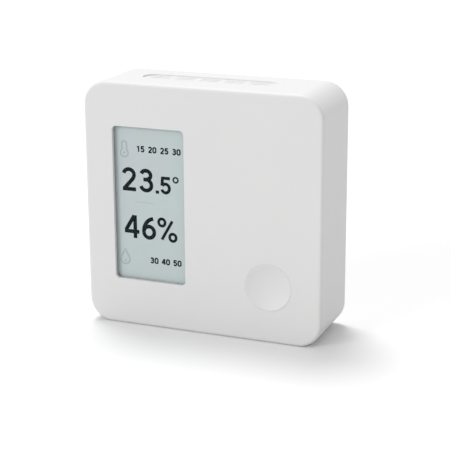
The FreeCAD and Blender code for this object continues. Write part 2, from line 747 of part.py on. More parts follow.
def display_carrier():
    piece = Piece("display_carrier")
    reach = S.carrier_lip + S.carrier_clearance
    low = GLASS_BOTTOM
    high = GLASS_TOP + reach
    plate = rectangle(GLASS_LEFT, GLASS_RIGHT, low, high)
    piece.pad("XZ", CARRIER_FRONT, [plate], S.carrier_thickness, 1)
    lip = rectangle(GLASS_LEFT, GLASS_RIGHT, high - S.carrier_lip, high)
    piece.pad("XZ", GLASS_FRONT, [lip], S.glass_thickness, 1)
    rail = S.carrier_rail
    middle = (low + high) / 2
    left, right = GLASS_LEFT + rail, GLASS_RIGHT - rail
    openings = [rectangle(left, right, middle + rail / 2, high - rail),
                rectangle(left, right, low + rail + S.flex_lap, middle - rail / 2)]
    piece.pocket("XZ", CARRIER_FRONT, openings, S.carrier_thickness, 1)
    half = S.flex_width / 2 + S.carrier_foot_gap
    relief = rectangle(WINDOW_X - half, WINDOW_X + half, low, low + S.flex_lap + S.carrier_foot_gap)
    piece.pocket("XZ", CARRIER_FRONT, [relief], S.flex_thickness * 2, 1)


def display_flex():
    """A flat cable bonded to the back of the glass, folded round the board's lower edge."""
    piece = Piece("display_flex")
    front = CARRIER_FRONT
    thick = S.flex_thickness
    back = BOARD_BACK + S.plug_thickness / 2 + thick / 2
    radius = (back - front) / 2
    inner = radius - thick
    fold = GLASS_BOTTOM
    tail_end = fold + S.flex_tail + S.flex_plug_depth
    centre = front + radius
    outline = polygon([
        (front, fold + S.flex_lap),
        (front, fold),
        (centre, fold - radius),
        (back, fold),
        (back, tail_end),
        (back - thick, tail_end),
        (back - thick, fold),
        (centre, fold - inner),
        (front + thick, fold),
        (front + thick, fold + S.flex_lap),
    ], {1: (radius, 1), 2: (radius, 1), 6: (inner, -1), 7: (inner, -1)})
    piece.pad("YZ", WINDOW_X - S.flex_width / 2, [outline], S.flex_width, 1)


def flex_connector():
    low = GLASS_BOTTOM + S.flex_tail
    half = S.plug_width / 2
    body = block("plug_block", WINDOW_X - half, WINDOW_X + half, BOARD_BACK, BOARD_BACK + S.plug_thickness,
                 low, low + S.plug_height)
    middle = BOARD_BACK + S.plug_thickness / 2
    reach = S.flex_width / 2 + S.plug_slot_gap
    open_half = S.flex_thickness / 2 + S.plug_slot_gap
    mouth = block("plug_mouth", WINDOW_X - reach, WINDOW_X + reach, middle - open_half, middle + open_half,
                  low, low + S.flex_plug_depth + S.plug_slot_gap)
    keep("flex_connector", cut("plug", body, mouth))


# Boards and what is on them

def inside_outline(gap):
    """The inside of the case, smaller by a gap on every side."""
    return rounded(INNER_LEFT + gap, INNER_RIGHT - gap, S.side_wall + gap, INNER_TOP - gap,
                   S.corner_radius - S.side_wall - gap)


def main_board():
    piece = Piece("main_board")
    gap = S.board_clearance
    low = S.side_wall + gap
    piece.pad("XZ", BOARD_FRONT, [inside_outline(gap)], S.board_thickness, 1)
    holes = [disc(x, z, S.screw_radius + S.screw_gap) for x, z in SCREW_PLACES]
    piece.pocket("XZ", BOARD_FRONT, holes, S.board_thickness, 1)
    half = S.flex_width / 2 + S.board_notch_gap
    notch = rectangle(WINDOW_X - half, WINDOW_X + half, low, GLASS_BOTTOM + S.board_notch_gap / 2)
    piece.pocket("XZ", BOARD_FRONT, [notch], S.board_thickness, 1)


CAPACITOR_LEFT = RAIL_LEFT + S.capacitor_from_rail
RADIO_X = CAPACITOR_LEFT + S.capacitor_length + S.radio_from_capacitor + S.radio_width / 2
RADIO_Z = BAY_UNDERSIDE - S.radio_below_bay - S.radio_height / 2
RADIO_BACK = BOARD_BACK + S.radio_thickness


def radio():
    card = chip("radio_card", RADIO_X, RADIO_Z, S.radio_width, S.radio_height, BOARD_BACK, S.radio_thickness)
    keep("radio_board", card)
    width = S.radio_width - 2 * S.shield_inset
    height = S.radio_height - 2 * S.shield_inset
    wall = S.shield_wall
    can = chip("shield_can", RADIO_X, RADIO_Z, width, height, RADIO_BACK, S.shield_height)
    room = chip("shield_room", RADIO_X, RADIO_Z, width - 2 * wall, height - 2 * wall, RADIO_BACK,
                S.shield_height - wall)
    keep("radio_shield", cut("shield", can, room))


def buffer_capacitor():
    x = CAPACITOR_LEFT
    y = BOARD_BACK + S.capacitor_radius + S.capacitor_lift
    z = BAY_UNDERSIDE - S.capacitor_below_bay
    can = rod("capacitor_can", "X", x, y, z, S.capacitor_radius, S.capacitor_length)
    band = S.capacitor_groove * 2
    ring = rod("capacitor_ring", "X", x + band * 2, y, z, S.capacitor_radius + S.capacitor_groove, band)
    core = rod("capacitor_core", "X", x + band * 2, y, z, S.capacitor_radius - S.capacitor_groove, band)
    keep("buffer_capacitor", cut("capacitor", can, cut("capacitor_crimp", ring, core)))


def antenna_spring():
    """A coil that stands on the board with its axis towards the back."""
    x = RIGHT - S.antenna_from_side
    z = RAIL_TOP + S.antenna_above_rail
    height = S.antenna_turns * S.antenna_pitch
    place = Vector(x.value, (BOARD_BACK + S.antenna_wire / 2).value, z.value)
    radius = S.antenna_radius.value
    turns, wire = S.antenna_turns.value, S.antenna_wire.value
    shape = coil(AXES["Y"], place, radius, radius, height.value, turns, wire)
    keep("antenna_spring", made("antenna", shape))


def board_parts():
    """Chips, the supply's parts and the crystal, on the board's front beside the display."""
    x = GLASS_RIGHT + S.chip_inset
    z = S.case_height - S.chip_from_top
    step = (S.controller_width + S.memory_width) / 2 + S.chip_gap
    low = z - step
    chips = [chip(name, a, b, width, width, BOARD_FRONT, -S.controller_thickness) for name, a, b, width in (
        ("controller", x, z, S.controller_width),
        ("memory", x + step, z, S.memory_width),
        ("regulator", x, low, S.regulator_width),
    )]
    keep("board_chips", group("chips", chips))
    supply = [chip("supply_coil", x + step, low, S.coil_width, S.coil_width, BOARD_FRONT, -S.coil_height)]
    row = low - S.chip_gap - S.coil_width / 2
    for number in range(SUPPLY_CAPACITORS):
        place = x + S.part_pitch * number
        supply.append(chip(f"supply_part_{number + 1}", place, row, S.part_width, S.part_length, BOARD_FRONT,
                           -S.part_width))
    keep("board_passives", group("passives", supply))
    start = x - S.controller_width / 2
    radius = S.crystal_radius
    keep("crystal_can", rod("crystal", "X", start, BOARD_FRONT - radius, row - S.chip_gap, radius,
                            S.crystal_length))


SENSOR_Z = S.case_height - S.sensor_board_from_top - S.sensor_board_height / 2
SENSOR_CARD_BACK = BOARD_BACK + S.sensor_board_thickness


def sensor():
    height = S.sensor_board_height
    card = chip("sensor_card", ZERO, SENSOR_Z, S.sensor_board_width, height, BOARD_BACK,
                S.sensor_board_thickness)
    keep("sensor_board", card)
    width, thick = S.sensor_width, S.sensor_thickness
    body = chip("sensor_chip", ZERO, SENSOR_Z, width, width, SENSOR_CARD_BACK, thick)
    port = rod("sensor_hole", "Y", ZERO, SENSOR_CARD_BACK + thick / 2, SENSOR_Z, S.sensor_port, thick / 2)
    keep("humidity_sensor", cut("sensor_body", body, port))
    inside = 2 * S.gasket_wall
    foam = chip("foam_block", ZERO, SENSOR_Z, S.gasket_width, height, SENSOR_CARD_BACK, S.gasket_height)
    room = chip("foam_room", ZERO, SENSOR_Z, S.gasket_width - inside, height - inside, SENSOR_CARD_BACK,
                S.gasket_height)
    keep("sensor_gasket", cut("foam", foam, room))


# Batteries, their contacts and their chassis

def battery(name, z, plus_side):
    """A cell along X, with its plus cap on the left (-1) or the right (1)."""
    piece = Piece(name)
    half = BAY_LENGTH / 2
    plus = half - S.contact_thickness - S.contact_gap
    shoulder = S.battery_length - S.battery_cap_height
    groove = shoulder - S.battery_groove_from_end
    radius = S.battery_radius
    edge = S.battery_edge
    outline = polygon([
        (ZERO, ZERO),
        (radius - edge, ZERO),
        (radius, edge),
        (radius, groove - S.battery_groove_width),
        (radius - S.battery_groove, groove - S.battery_groove_width),
        (radius - S.battery_groove, groove),
        (radius, groove),
        (radius, shoulder - edge),
        (radius - edge, shoulder),
        (S.battery_cap_radius, shoulder),
        (S.battery_cap_radius, S.battery_length),
        (ZERO, S.battery_length),
    ], {1: (edge, 1), 7: (edge, 1)})
    piece.turn(outline)
    turn = Rotation(Vector(0, 0, 1), -90 * plus_side)
    piece.body.Placement = Placement(Vector(), turn)
    piece.move((plus - S.battery_length) * plus_side, BATTERY_Y, z)


def contacts():
    half = BAY_LENGTH / 2
    thick = S.contact_thickness
    rise = CHASSIS_BACK + S.contact_rise
    plates = []
    springs = []
    for z, plus_side in ((UPPER_BATTERY_Z, 1), (LOWER_BATTERY_Z, -1)):
        for side in (-1, 1):
            low, high = (-half, thick - half) if side < 0 else (half - thick, half)
            name = f"contact_{len(plates) + 1}"
            plates.append(block(name, low, high, CHASSIS_BACK + S.saddle_height, rise,
                                z - S.contact_width / 2, z + S.contact_width / 2))
        turn = AXES["X"] if plus_side > 0 else Rotation(Vector(0, 1, 0), -90)
        start = (half - thick - S.spring_wire / 2).value * -plus_side
        height = (S.spring_space - S.spring_wire).value
        shape = coil(turn, Vector(start, BATTERY_Y.value, z.value), S.spring_base_radius.value,
                     S.spring_tip_radius.value, height, S.spring_turns.value, S.spring_wire.value)
        springs.append(made(f"spring_{len(springs) + 1}", shape))
    keep("contact_plates", group("plates", plates))
    keep("contact_springs", group("springs", springs))


def battery_chassis():
    piece = Piece("battery_chassis")
    gap = S.chassis_clearance
    low, high = S.side_wall + gap, INNER_TOP - gap
    piece.pad("XZ", BOARD_BACK, [inside_outline(gap)], S.chassis_base, 1)
    half = BAY_LENGTH / 2
    wall = S.bay_wall
    battery_back = BATTERY_Y + S.battery_radius
    saddle = rectangle(-half, half, BAY_BOTTOM, BAY_TOP)
    piece.pad("XZ", CHASSIS_BACK, [saddle], S.saddle_height, 1)
    ends = [rectangle(-half - wall, -half, BAY_UNDERSIDE, BAY_TOP + wall),
            rectangle(half, half + wall, BAY_UNDERSIDE, BAY_TOP + wall)]
    piece.pad("XZ", CHASSIS_BACK, ends, battery_back - S.end_wall_drop - CHASSIS_BACK, 1)
    sides = [rectangle(-half, half, BAY_TOP, BAY_TOP + wall),
             rectangle(-half, half, BAY_UNDERSIDE, BAY_BOTTOM)]
    piece.pad("XZ", CHASSIS_BACK, sides, battery_back - S.bay_wall_drop - CHASSIS_BACK, 1)
    trough = S.battery_radius + S.battery_gap
    troughs = [disc(BATTERY_Y, z, trough) for z in (UPPER_BATTERY_Z, LOWER_BATTERY_Z)]
    piece.pocket("YZ", -half, troughs, BAY_LENGTH, 1)
    sockets = [disc(x, z, SOCKET_RADIUS) for x, z in SOCKET_PLACES]
    piece.pad("XZ", CHASSIS_BACK, sockets, PLATE_FRONT - CHASSIS_BACK, 1)
    bores = [disc(x, z, S.pin_radius + S.pin_gap) for x, z in SOCKET_PLACES]
    piece.pocket("XZ", PLATE_FRONT, bores, S.pin_length + S.pin_room, -1)
    holes = [disc(x, z, S.screw_radius + S.screw_gap) for x, z in SCREW_PLACES]
    piece.pocket("XZ", BOARD_BACK, holes, S.chassis_base, 1)
    window = rectangle(RAIL_LEFT, RAIL_RIGHT, RAIL_TOP, BAY_UNDERSIDE)
    piece.pocket("XZ", BOARD_BACK, [window], S.chassis_base, 1)
    reach = S.flex_width / 2 + S.board_notch_gap
    notch = rectangle(WINDOW_X - reach, WINDOW_X + reach, low, RAIL_TOP)
    piece.pocket("XZ", BOARD_BACK, [notch], S.chassis_base, 1)
    half_window = S.sensor_window_width / 2
    sensor_window = rectangle(-half_window, half_window, BAY_TOP + wall, high - S.sensor_window_rail)
    piece.pocket("XZ", BOARD_BACK, [sensor_window], S.chassis_base, 1)


def chassis_screws():
    screws = []
    for number, (x, z) in enumerate(SCREW_PLACES, start=1):
        shank_start = BOARD_FRONT - S.screw_reach
        shank = rod(f"shank_{number}", "Y", x, shank_start, z, S.screw_radius, CHASSIS_BACK - shank_start)
        head = rod(f"head_{number}", "Y", x, CHASSIS_BACK, z, S.screw_head_radius, S.screw_head_height)
        top = CHASSIS_BACK + S.screw_head_height
        floor = top - S.screw_recess
        arm = S.screw_head_radius - S.screw_cross
        slim = S.screw_cross / 2
        cross = joined(f"cross_{number}", [
            block(f"cross_wide_{number}", x - arm, x + arm, floor, top, z - slim, z + slim),
            block(f"cross_tall_{number}", x - slim, x + slim, floor, top, z - arm, z + arm),
        ])
        screws.append(cut(f"screw_{number}", joined(f"screw_blank_{number}", [shank, head]), cross))
    keep("chassis_screws", group("screws", screws))


# The wall plate

def wall_plate():
    piece = Piece("wall_plate")
    gap = S.plate_clearance
    piece.pad("XZ", PLATE_FRONT, [inside_outline(gap)], S.plate_thickness, 1)
    piece.soften("Fillet", in_plane(1, BACK), S.plate_edge)
    pins = [disc(x, z, S.pin_radius) for x, z in SOCKET_PLACES]
    piece.pad("XZ", PLATE_FRONT, pins, S.pin_length, -1)
    piece.soften("Chamfer", in_plane(1, PLATE_FRONT - S.pin_length), S.pin_chamfer)
    slot_places = [(-SLOT_X, SLOT_Z), (SLOT_X, SLOT_Z)]
    slots = [slot(x, z, S.wall_slot_length, S.wall_slot_width) for x, z in slot_places]
    piece.pocket("XZ", PLATE_FRONT, slots, S.plate_thickness, 1)
    rim = 2 * S.wall_slot_rim
    sinks = [slot(x, z, S.wall_slot_length + rim, S.wall_slot_width + rim) for x, z in slot_places]
    piece.pocket("XZ", PLATE_FRONT, sinks, S.wall_slot_sink, 1)
    half = S.tape_recess_width / 2
    tall = S.tape_recess_height / 2
    recesses = [rectangle(-half, half, z - tall, z + tall)
                for z in (S.tape_recess_from_ends, S.case_height - S.tape_recess_from_ends)]
    piece.pocket("XZ", BACK, recesses, S.tape_recess, -1)
    reach = S.plate_rib_length / 2
    slim = S.plate_rib_width / 2
    ribs = [rectangle(-reach, reach, SLOT_Z - S.plate_rib_pitch * number - slim,
                      SLOT_Z - S.plate_rib_pitch * number + slim) for number in range(PLATE_RIBS)]
    piece.pad("XZ", PLATE_FRONT, ribs, S.plate_rib_height, -1)


def build():
    front_cover()
    vent_membrane()
    button_cap()
    switch()
    display()
    display_carrier()
    display_flex()
    flex_connector()
    main_board()
    radio()
    buffer_capacitor()
    antenna_spring()
    board_parts()
    sensor()
    battery_chassis()
    battery("upper_battery", UPPER_BATTERY_Z, 1)
    battery("lower_battery", LOWER_BATTERY_Z, -1)
    contacts()
    chassis_screws()
    wall_plate()
    DOC.recompute()


def check():
    """Stops if any object failed or any piece is not a sound solid."""
    for item in DOC.Objects:
        if "Invalid" in item.State or "Error" in item.State:
            raise RuntimeError(f"{item.Name} failed: {item.State}")
    for name, item in NODES.items():
        if item.Shape.isNull() or not item.Shape.isValid() or not item.Shape.Solids:
            raise RuntimeError(f"{name} is not a sound solid")


def write():
    os.makedirs("parts", exist_ok=True)
    for name, item in NODES.items():
        item.Label = name
        item.Shape.exportStep(f"parts/{name}.step")
        print(f"{name}: {len(item.Shape.Solids)} solids, {item.Shape.Volume:.1f} mm3")


build()
check()
write()
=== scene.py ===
import math

import bmesh
import bpy
from bpy.props import FloatProperty, FloatVectorProperty, PointerProperty
from mathutils import Matrix, Vector


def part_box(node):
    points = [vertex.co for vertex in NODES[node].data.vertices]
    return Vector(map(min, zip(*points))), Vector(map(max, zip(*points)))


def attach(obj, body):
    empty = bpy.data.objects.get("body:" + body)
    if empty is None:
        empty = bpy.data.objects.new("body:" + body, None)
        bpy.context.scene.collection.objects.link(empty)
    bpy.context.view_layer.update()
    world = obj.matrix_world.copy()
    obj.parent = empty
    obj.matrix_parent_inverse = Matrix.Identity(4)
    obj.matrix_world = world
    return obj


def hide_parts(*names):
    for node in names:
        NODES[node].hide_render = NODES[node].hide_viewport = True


bl_info = {
    "name": "Room sensor",
    "version": (1, 0, 0),
    "blender": (4, 5, 0),
    "location": "View3D > Sidebar > Room sensor",
    "description": "Finishes, screen, springs and cells of a room sensor, and its studio",
    "category": "Object",
}

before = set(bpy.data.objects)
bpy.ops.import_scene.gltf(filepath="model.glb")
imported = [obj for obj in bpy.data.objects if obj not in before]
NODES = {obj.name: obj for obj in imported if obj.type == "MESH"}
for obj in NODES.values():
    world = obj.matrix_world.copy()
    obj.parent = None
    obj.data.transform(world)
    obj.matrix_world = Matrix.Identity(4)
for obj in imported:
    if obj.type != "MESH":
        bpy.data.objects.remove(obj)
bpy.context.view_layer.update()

MM = 0.001
QUARTER_TURN = math.pi / 2

# Points closer than this are one point
WELD = 1e-7

# Studio lights, in degrees: round from the front towards the right, above the horizon, and how broad
FRONT_LIGHT = (-32, 20, 28)
TOP_LIGHT = (-138, 70, 24)
FLOOR_REACH = 3.0

# The key behind its face, and the layers of the screen
DISH_RIM = 0.25 * MM
DISH_ROUND = 0.8 * MM
KEY_WALL = 1.0 * MM
KEY_SKIN = 0.65 * MM
FLANGE_FRONT = 2.05 * MM
FLANGE_BACK = 2.65 * MM
POST_RADIUS = 2.0 * MM
LENS_GAP = 0.05 * MM
LENS_CORNER = 1.4 * MM
LENS_INDEX = 1.15
LENS_HAZE = 0.003
INK_THICKNESS = 0.02 * MM
DIVIDER_STROKE = 0.15 * MM

# First and last turn of a contact spring
SPRING_BASE = 4.2 * MM
SPRING_TIP = 2.4 * MM

# How finely the turned pieces are divided
DISH_STEPS = 48
KEY_STEPS = 160
CELL_STEPS = 72

# A cell's plus cap above its shoulder, and the groove below it, in millimetres
CAP_HEIGHT = 1.4
CAP_RADIUS = 2.75
GROOVE = 0.25
GROOVE_TOP = 2.4
GROOVE_BASE = 2.8

# Legs of the controller, the chip at the top left of the board
CHIP_SIDE = 7.0 * MM
LEGS_A_SIDE = 7
LEG_WIDTH = 0.3 * MM
LEG_REACH = 0.7 * MM
LEG_PITCH = 0.8 * MM
LEG_THICKNESS = 0.15 * MM
LEG_RISE = 0.3 * MM

# Small parts on the back of the board; a body is slimmer than its tinned ends
PART_LENGTH = 1.9 * MM
PART_WIDTH = 1.1 * MM
PART_HEIGHT = 0.6 * MM
PART_END = 0.4 * MM
PART_BODY = 0.94

# Where they lie: x and z in millimetres, and 1 for an upright one
CAPACITORS = ((-23.4, 17.6, 1), (-18.2, 17.6, 1), (-13, 17.6, 1), (-21, 21, 0), (-8, 15.4, 0),
              (13.6, 21, 0), (13.6, 25.8, 0), (16.2, 15.4, 1), (18.4, 31.2, 1), (23.4, 31.2, 1),
              (18.2, 23.4, 0))
RESISTORS = ((-20.8, 17.6, 1), (-15.6, 17.6, 1), (-16.6, 21, 0), (-8, 17.8, 0), (13.6, 23.4, 0),
             (13.6, 28.2, 0), (13.8, 15.4, 1), (20.9, 31.2, 1), (18.2, 26, 0), (22.2, 26, 0))

# Patterns of the boards and the shield
TRACK_PITCH = 0.7 * MM
TRACK_BUNDLE = 6 * MM
VIA_PITCH = 3.4 * MM
HOLE_PITCH = 2.0 * MM

# Colours of the small parts
BLACK_PACKAGE = (0.012, 0.012, 0.013)
BROWN_PACKAGE = (0.05, 0.042, 0.032)
CAPACITOR_BODY = (0.3, 0.2, 0.12)
RESISTOR_BODY = (0.014, 0.014, 0.016)
DARK_PLASTIC = (0.02, 0.02, 0.022)
TIN = (0.7, 0.695, 0.68)
CONTACT_TIN = (0.72, 0.715, 0.7)
SPRING_STEEL = (0.55, 0.55, 0.55)
CAN_STEEL = (0.6, 0.6, 0.6)
SCREW_STEEL = (0.5, 0.5, 0.5)
GOLD = (0.75, 0.55, 0.22)

# Sockets of the Mix node when it blends colours
MIX_FACTOR, MIX_FIRST, MIX_SECOND, MIX_RESULT = 0, 6, 7, 2


def box(node):
    """Low corner, high corner and middle of a node."""
    low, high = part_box(node)
    return low, high, (low + high) / 2


def towards(azimuth, elevation):
    """Unit vector from the object towards a camera or lamp."""
    level = math.cos(elevation)
    return Vector((math.sin(azimuth) * level, -math.cos(azimuth) * level, math.sin(elevation)))


# Settings

def number(name, description, value, **more):
    return FloatProperty(name=name, description=description, default=value, **more)


def length(name, description, millimetres):
    return number(name, description, millimetres * MM, min=0, unit="LENGTH", precision=5)


def angle(name, description, degrees):
    return number(name, description, math.radians(degrees), subtype="ANGLE")


def colour(name, description, value):
    return FloatVectorProperty(name=name, description=description, default=value, min=0, max=1,
                               subtype="COLOR")


class CaseSettings(bpy.types.PropertyGroup):
    """Sizes and colours of the case, its wall plate and the key."""

    plastic: colour("Plastic", "Colour of the case", (0.775, 0.775, 0.772))
    plate: colour("Wall plate", "Colour of the wall plate", (0.74, 0.74, 0.735))
    grain: length("Grain", "Width of the moulded grain", 0.35)
    grain_height: length("Grain height", "Height of the moulded grain", 0.0016)
    roughness: number("Roughness", "How matt the case is", 0.5, min=0, max=1, subtype="FACTOR")
    dish_depth: length("Dish depth", "Hollow of the key", 1.35)
    key_radius: length("Key radius", "The key in its hole", 7.45)


class ScreenSettings(bpy.types.PropertyGroup):
    """Sizes and colours of the display."""

    paper: colour("Paper", "Colour of the film", (0.56, 0.636, 0.635))
    ink: colour("Ink", "Colour of a dark segment", (0.0022, 0.0075, 0.0088))
    ghost: colour("Ghost", "Colour of the faint icons", (0.41, 0.465, 0.475))
    lens_tint: colour("Lens", "Colour of the lens", (0.8, 0.85, 0.86))
    big_height: length("Large numerals", "Height of the large numerals", 7.45)
    small_height: length("Small numerals", "Height of the decimal", 5.45)
    row_height: length("Row numerals", "Height of the rows of numbers", 1.85)
    big_stroke: length("Large stroke", "Stroke of the large numerals", 1.24)
    small_stroke: length("Small stroke", "Stroke of the decimal", 1.0)
    percent_stroke: length("Percent stroke", "Stroke of the percent sign", 0.92)
    sign_stroke: length("Sign stroke", "Stroke of the degree ring and the icons", 0.5)
    row_stroke: length("Row stroke", "Stroke of the rows of numbers", 0.46)


class InsideSettings(bpy.types.PropertyGroup):
    """Sizes and colours of what the wall plate covers."""

    chassis: colour("Chassis", "Moulded chassis and carrier", (0.42, 0.43, 0.44))
    board: colour("Board", "Solder mask", (0.012, 0.105, 0.045))
    sleeve: colour("Cell sleeve", "Shrink sleeve of the cells", (0.03, 0.075, 0.19))
    band: colour("Cell band", "Band at the plus end", (0.55, 0.56, 0.58))
    sleeve_thickness: length("Sleeve", "Thickness of a cell's sleeve", 0.12)
    spring_wire: length("Spring wire", "Wire of the contact springs", 0.7)
    spring_turns: number("Spring turns", "Turns of a contact spring", 4.0)
    antenna_wire: length("Antenna wire", "Wire of the antenna", 0.8)
    antenna_turns: number("Antenna turns", "Turns of the antenna", 6.0)


class StudioSettings(bpy.types.PropertyGroup):
    """Camera, lamps and floor."""

    azimuth: angle("Azimuth", "Camera round from the front", 22.14)
    elevation: angle("Elevation", "Camera above the horizon", 16.43)
    roll: angle("Roll", "Camera tilt to the side", -0.36)
    distance: length("Distance", "Camera to its target", 423.7)
    target: FloatVectorProperty(name="Target", description="Point that the camera looks at",
                                default=(8.0 * MM, -12.25 * MM, 36.34 * MM), subtype="TRANSLATION")
    lens: number("Lens", "Focal length in millimetres on a 36 mm sensor", 111.5, min=1)
    floor: colour("Floor", "Colour of the floor", (0.93, 0.93, 0.93))
    floor_echo: number("Floor echo", "Share of its light that reaches the object", 0.74, min=0, max=1,
                       subtype="FACTOR")
    sky: number("Sky", "Strength of the light from all round", 0.59)
    front_light: number("Front light", "Light from the front and left", 0.97)
    top_light: number("Top light", "Light from above and behind", 1.56)


# Node trees

class Wire:
    """One output of a node. Arithmetic on it adds Math nodes."""

    def __init__(self, graph, socket):
        self.graph = graph
        self.socket = socket

    def math(self, operation, *parts):
        return self.graph.add("ShaderNodeMath", dict(enumerate(parts)), operation=operation)

    def __add__(self, other):
        return self.math("ADD", self, other)

    def __sub__(self, other):
        return self.math("SUBTRACT", self, other)

    def __rsub__(self, other):
        return self.math("SUBTRACT", other, self)

    def __mul__(self, other):
        return self.math("MULTIPLY", self, other)

    def __gt__(self, other):
        return self.math("GREATER_THAN", self, other)

    def __lt__(self, other):
        return self.math("LESS_THAN", self, other)

    __radd__ = __add__
    __rmul__ = __mul__

    def repeated(self, pitch, start=0.0):
        """Runs from 0 to 1 in every pitch."""
        return self.math("FRACT", (self - start) * (1 / pitch))

    def at_most(self, limit):
        return self.math("MINIMUM", self, limit)


class Graph:
    """A node tree that is filled one node at a time."""

    def __init__(self, tree):
        self.tree = tree

    def add(self, kind, inputs=None, output=0, **settings):
        """Adds a node: settings first, then its sockets' values or wires. Gives one output or a list."""
        node = self.tree.nodes.new(kind)
        for name, value in settings.items():
            if name == "stops":
                set_stops(node.color_ramp, value)
            else:
                setattr(node, name, value)
        for key, value in (inputs or {}).items():
            if isinstance(value, Wire):
                self.tree.links.new(value.socket, node.inputs[key])
            else:
                node.inputs[key].default_value = value
        if isinstance(output, tuple):
            return [Wire(self, node.outputs[key]) for key in output]
        return Wire(self, node.outputs[output]) if len(node.outputs) else None


def set_stops(ramp, stops):
    while len(ramp.elements) < len(stops):
        ramp.elements.new(1)
    for element, (place, level) in zip(ramp.elements, stops):
        element.position = place
        element.color = (level, level, level, 1)


def opaque(value):
    """A colour with its alpha. A wire stays a wire."""
    return value if isinstance(value, Wire) else (*value, 1)


def scaled(value, factor, lift=0.0):
    """A colour made lighter or darker, and lifted."""
    return tuple(min(part * factor + lift, 1) for part in value)


class Finish(Graph):
    """A procedural material on object coordinates. Sizes of its patterns are in metres."""

    def __init__(self, name):
        self.material = bpy.data.materials.new(name)
        self.material.use_nodes = True
        super().__init__(self.material.node_tree)
        self.tree.nodes.clear()
        self.place = self.add("ShaderNodeTexCoord", output="Object")

    def noise(self, size, detail=2.0, roughness=0.5, place=None):
        return self.add("ShaderNodeTexNoise", {
            "Vector": place or self.place, "Scale": 1 / size, "Detail": detail, "Roughness": roughness})

    def cells(self, size, place=None, output=0, **settings):
        return self.add("ShaderNodeTexVoronoi", {"Vector": place or self.place, "Scale": 1 / size}, output,
                        **settings)

    def bands(self, scale):
        """Even stripes across X."""
        return self.add("ShaderNodeTexWave", {"Vector": self.place, "Scale": scale})

    def mapped(self, **change):
        return self.add("ShaderNodeMapping", {"Vector": self.place, **change})

    def axes(self, place=None):
        return self.add("ShaderNodeSeparateXYZ", {0: place or self.place}, ("X", "Y", "Z"))

    def ramp(self, value, *stops):
        return self.add("ShaderNodeValToRGB", {"Fac": value}, stops=stops)

    def mix(self, factor, first, second):
        """A blend of two colours."""
        return self.add("ShaderNodeMix", {
            MIX_FACTOR: factor, MIX_FIRST: opaque(first), MIX_SECOND: opaque(second)}, MIX_RESULT,
            data_type="RGBA")

    def bump(self, height, distance):
        return self.add("ShaderNodeBump", {"Height": height, "Distance": distance})

    def shader(self, **sockets):
        """The principled shader; a socket's name is written with _ for a space."""
        inputs = {}
        for name, value in sockets.items():
            inputs[name.replace("_", " ")] = opaque(value) if name.endswith("Color") else value
        surface = self.add("ShaderNodeBsdfPrincipled", inputs)
        self.add("ShaderNodeOutputMaterial", {"Surface": surface})
        return self.material

    def covered(self, pattern, first, second, relief, **sockets):
        """The shader of a surface whose pattern blends two colours and stands proud."""
        return self.shader(Base_Color=self.mix(pattern, first, second), Normal=self.bump(pattern, relief),
                           **sockets)


# Finishes

def moulded(name, base, grain, grain_height, roughness, spread=0.03):
    """Injection-moulded plastic: a fine eroded grain, faint flow marks and uneven gloss."""
    finish = Finish(name)
    flow = finish.noise(22 * MM, 3.0)
    fine = finish.noise(grain, 2.0, 0.6)
    pits = finish.noise(grain * 3, 1.0)
    tint = finish.mix(flow, scaled(base, 1 - spread), scaled(base, 1 + spread / 2))
    return finish.shader(Base_Color=finish.mix(fine * 0.12, tint, scaled(base, 0.93)),
                         Roughness=(flow - 0.5) * 0.1 + (pits - 0.5) * 0.08 + roughness,
                         Normal=finish.bump(fine * 0.75 + pits * 0.25, grain_height))


def metal(name, base, along, roughness):
    """Drawn or rolled metal with fine lines along one axis."""
    finish = Finish(name)
    stretch = [0.06 if axis == along else 1.0 for axis in "xyz"]
    lines = finish.noise(0.22 * MM, 3.0, 0.6, finish.mapped(Scale=stretch))
    cloud = finish.noise(6 * MM)
    return finish.shader(
        Base_Color=finish.mix(cloud, scaled(base, 0.88), base),
        Roughness=(lines - 0.5) * 0.18 + (cloud - 0.5) * 0.12 + roughness,
        Metallic=1.0, Normal=finish.bump(lines, 0.003 * MM))


def on_film(finish, grain, first, second):
    """Two tones blended by the capsules of the display's film."""
    capsules = finish.noise(0.12 * MM, 2.0, 0.7)
    return finish.shader(
        Base_Color=finish.mix(capsules * grain, first, second),
        Roughness=(capsules - 0.5) * 0.2 + 0.62,
        Normal=finish.bump(capsules, 0.001 * MM), Specular_IOR_Level=0.1)


def paper_film(paper):
    """The display's film: a fine capsule grain with soft green and blue clouds."""
    finish = Finish("e_paper")
    red, green, blue = paper
    cool = (red * 1.01, green * 0.988, blue * 1.015)
    warm = (red * 0.99, green * 1.012, blue * 0.995)
    cloud = finish.ramp(finish.noise(17 * MM, 1.0), (0.35, 0.0), (0.65, 1.0))
    return on_film(finish, 0.22, finish.mix(cloud, warm, cool), scaled(paper, 0.9))


def screen_ink(name, tone):
    """An image on the film, with the film's grain in it."""
    return on_film(Finish(name), 0.3, tone, scaled(tone, 1.3, 0.001))


def lens_sheet(tint):
    """Clear sheet with an anti-glare surface and a trace of dust."""
    finish = Finish("lens")
    dust = finish.ramp(finish.noise(0.5 * MM, 3.0, 0.7), (0.6, 0.0), (0.85, 1.0))
    etched = finish.noise(0.08 * MM, 1.0)
    return finish.shader(
        Base_Color=tint, Alpha=dust * (LENS_HAZE * 0.6) + LENS_HAZE, IOR=LENS_INDEX,
        Roughness=(etched - 0.5) * 0.1 + 0.22, Normal=finish.bump(etched, 0.0006 * MM))


def display_glass():
    """The panel's back glass over its dark electrodes."""
    finish = Finish("panel_glass")
    tint = finish.mix(finish.bands(800.0) * 0.4, (0.07, 0.085, 0.085), (0.16, 0.19, 0.19))
    cloud = finish.noise(5 * MM)
    return finish.shader(Base_Color=tint, Roughness=cloud * 0.1 + 0.06, Coat_Weight=0.4)


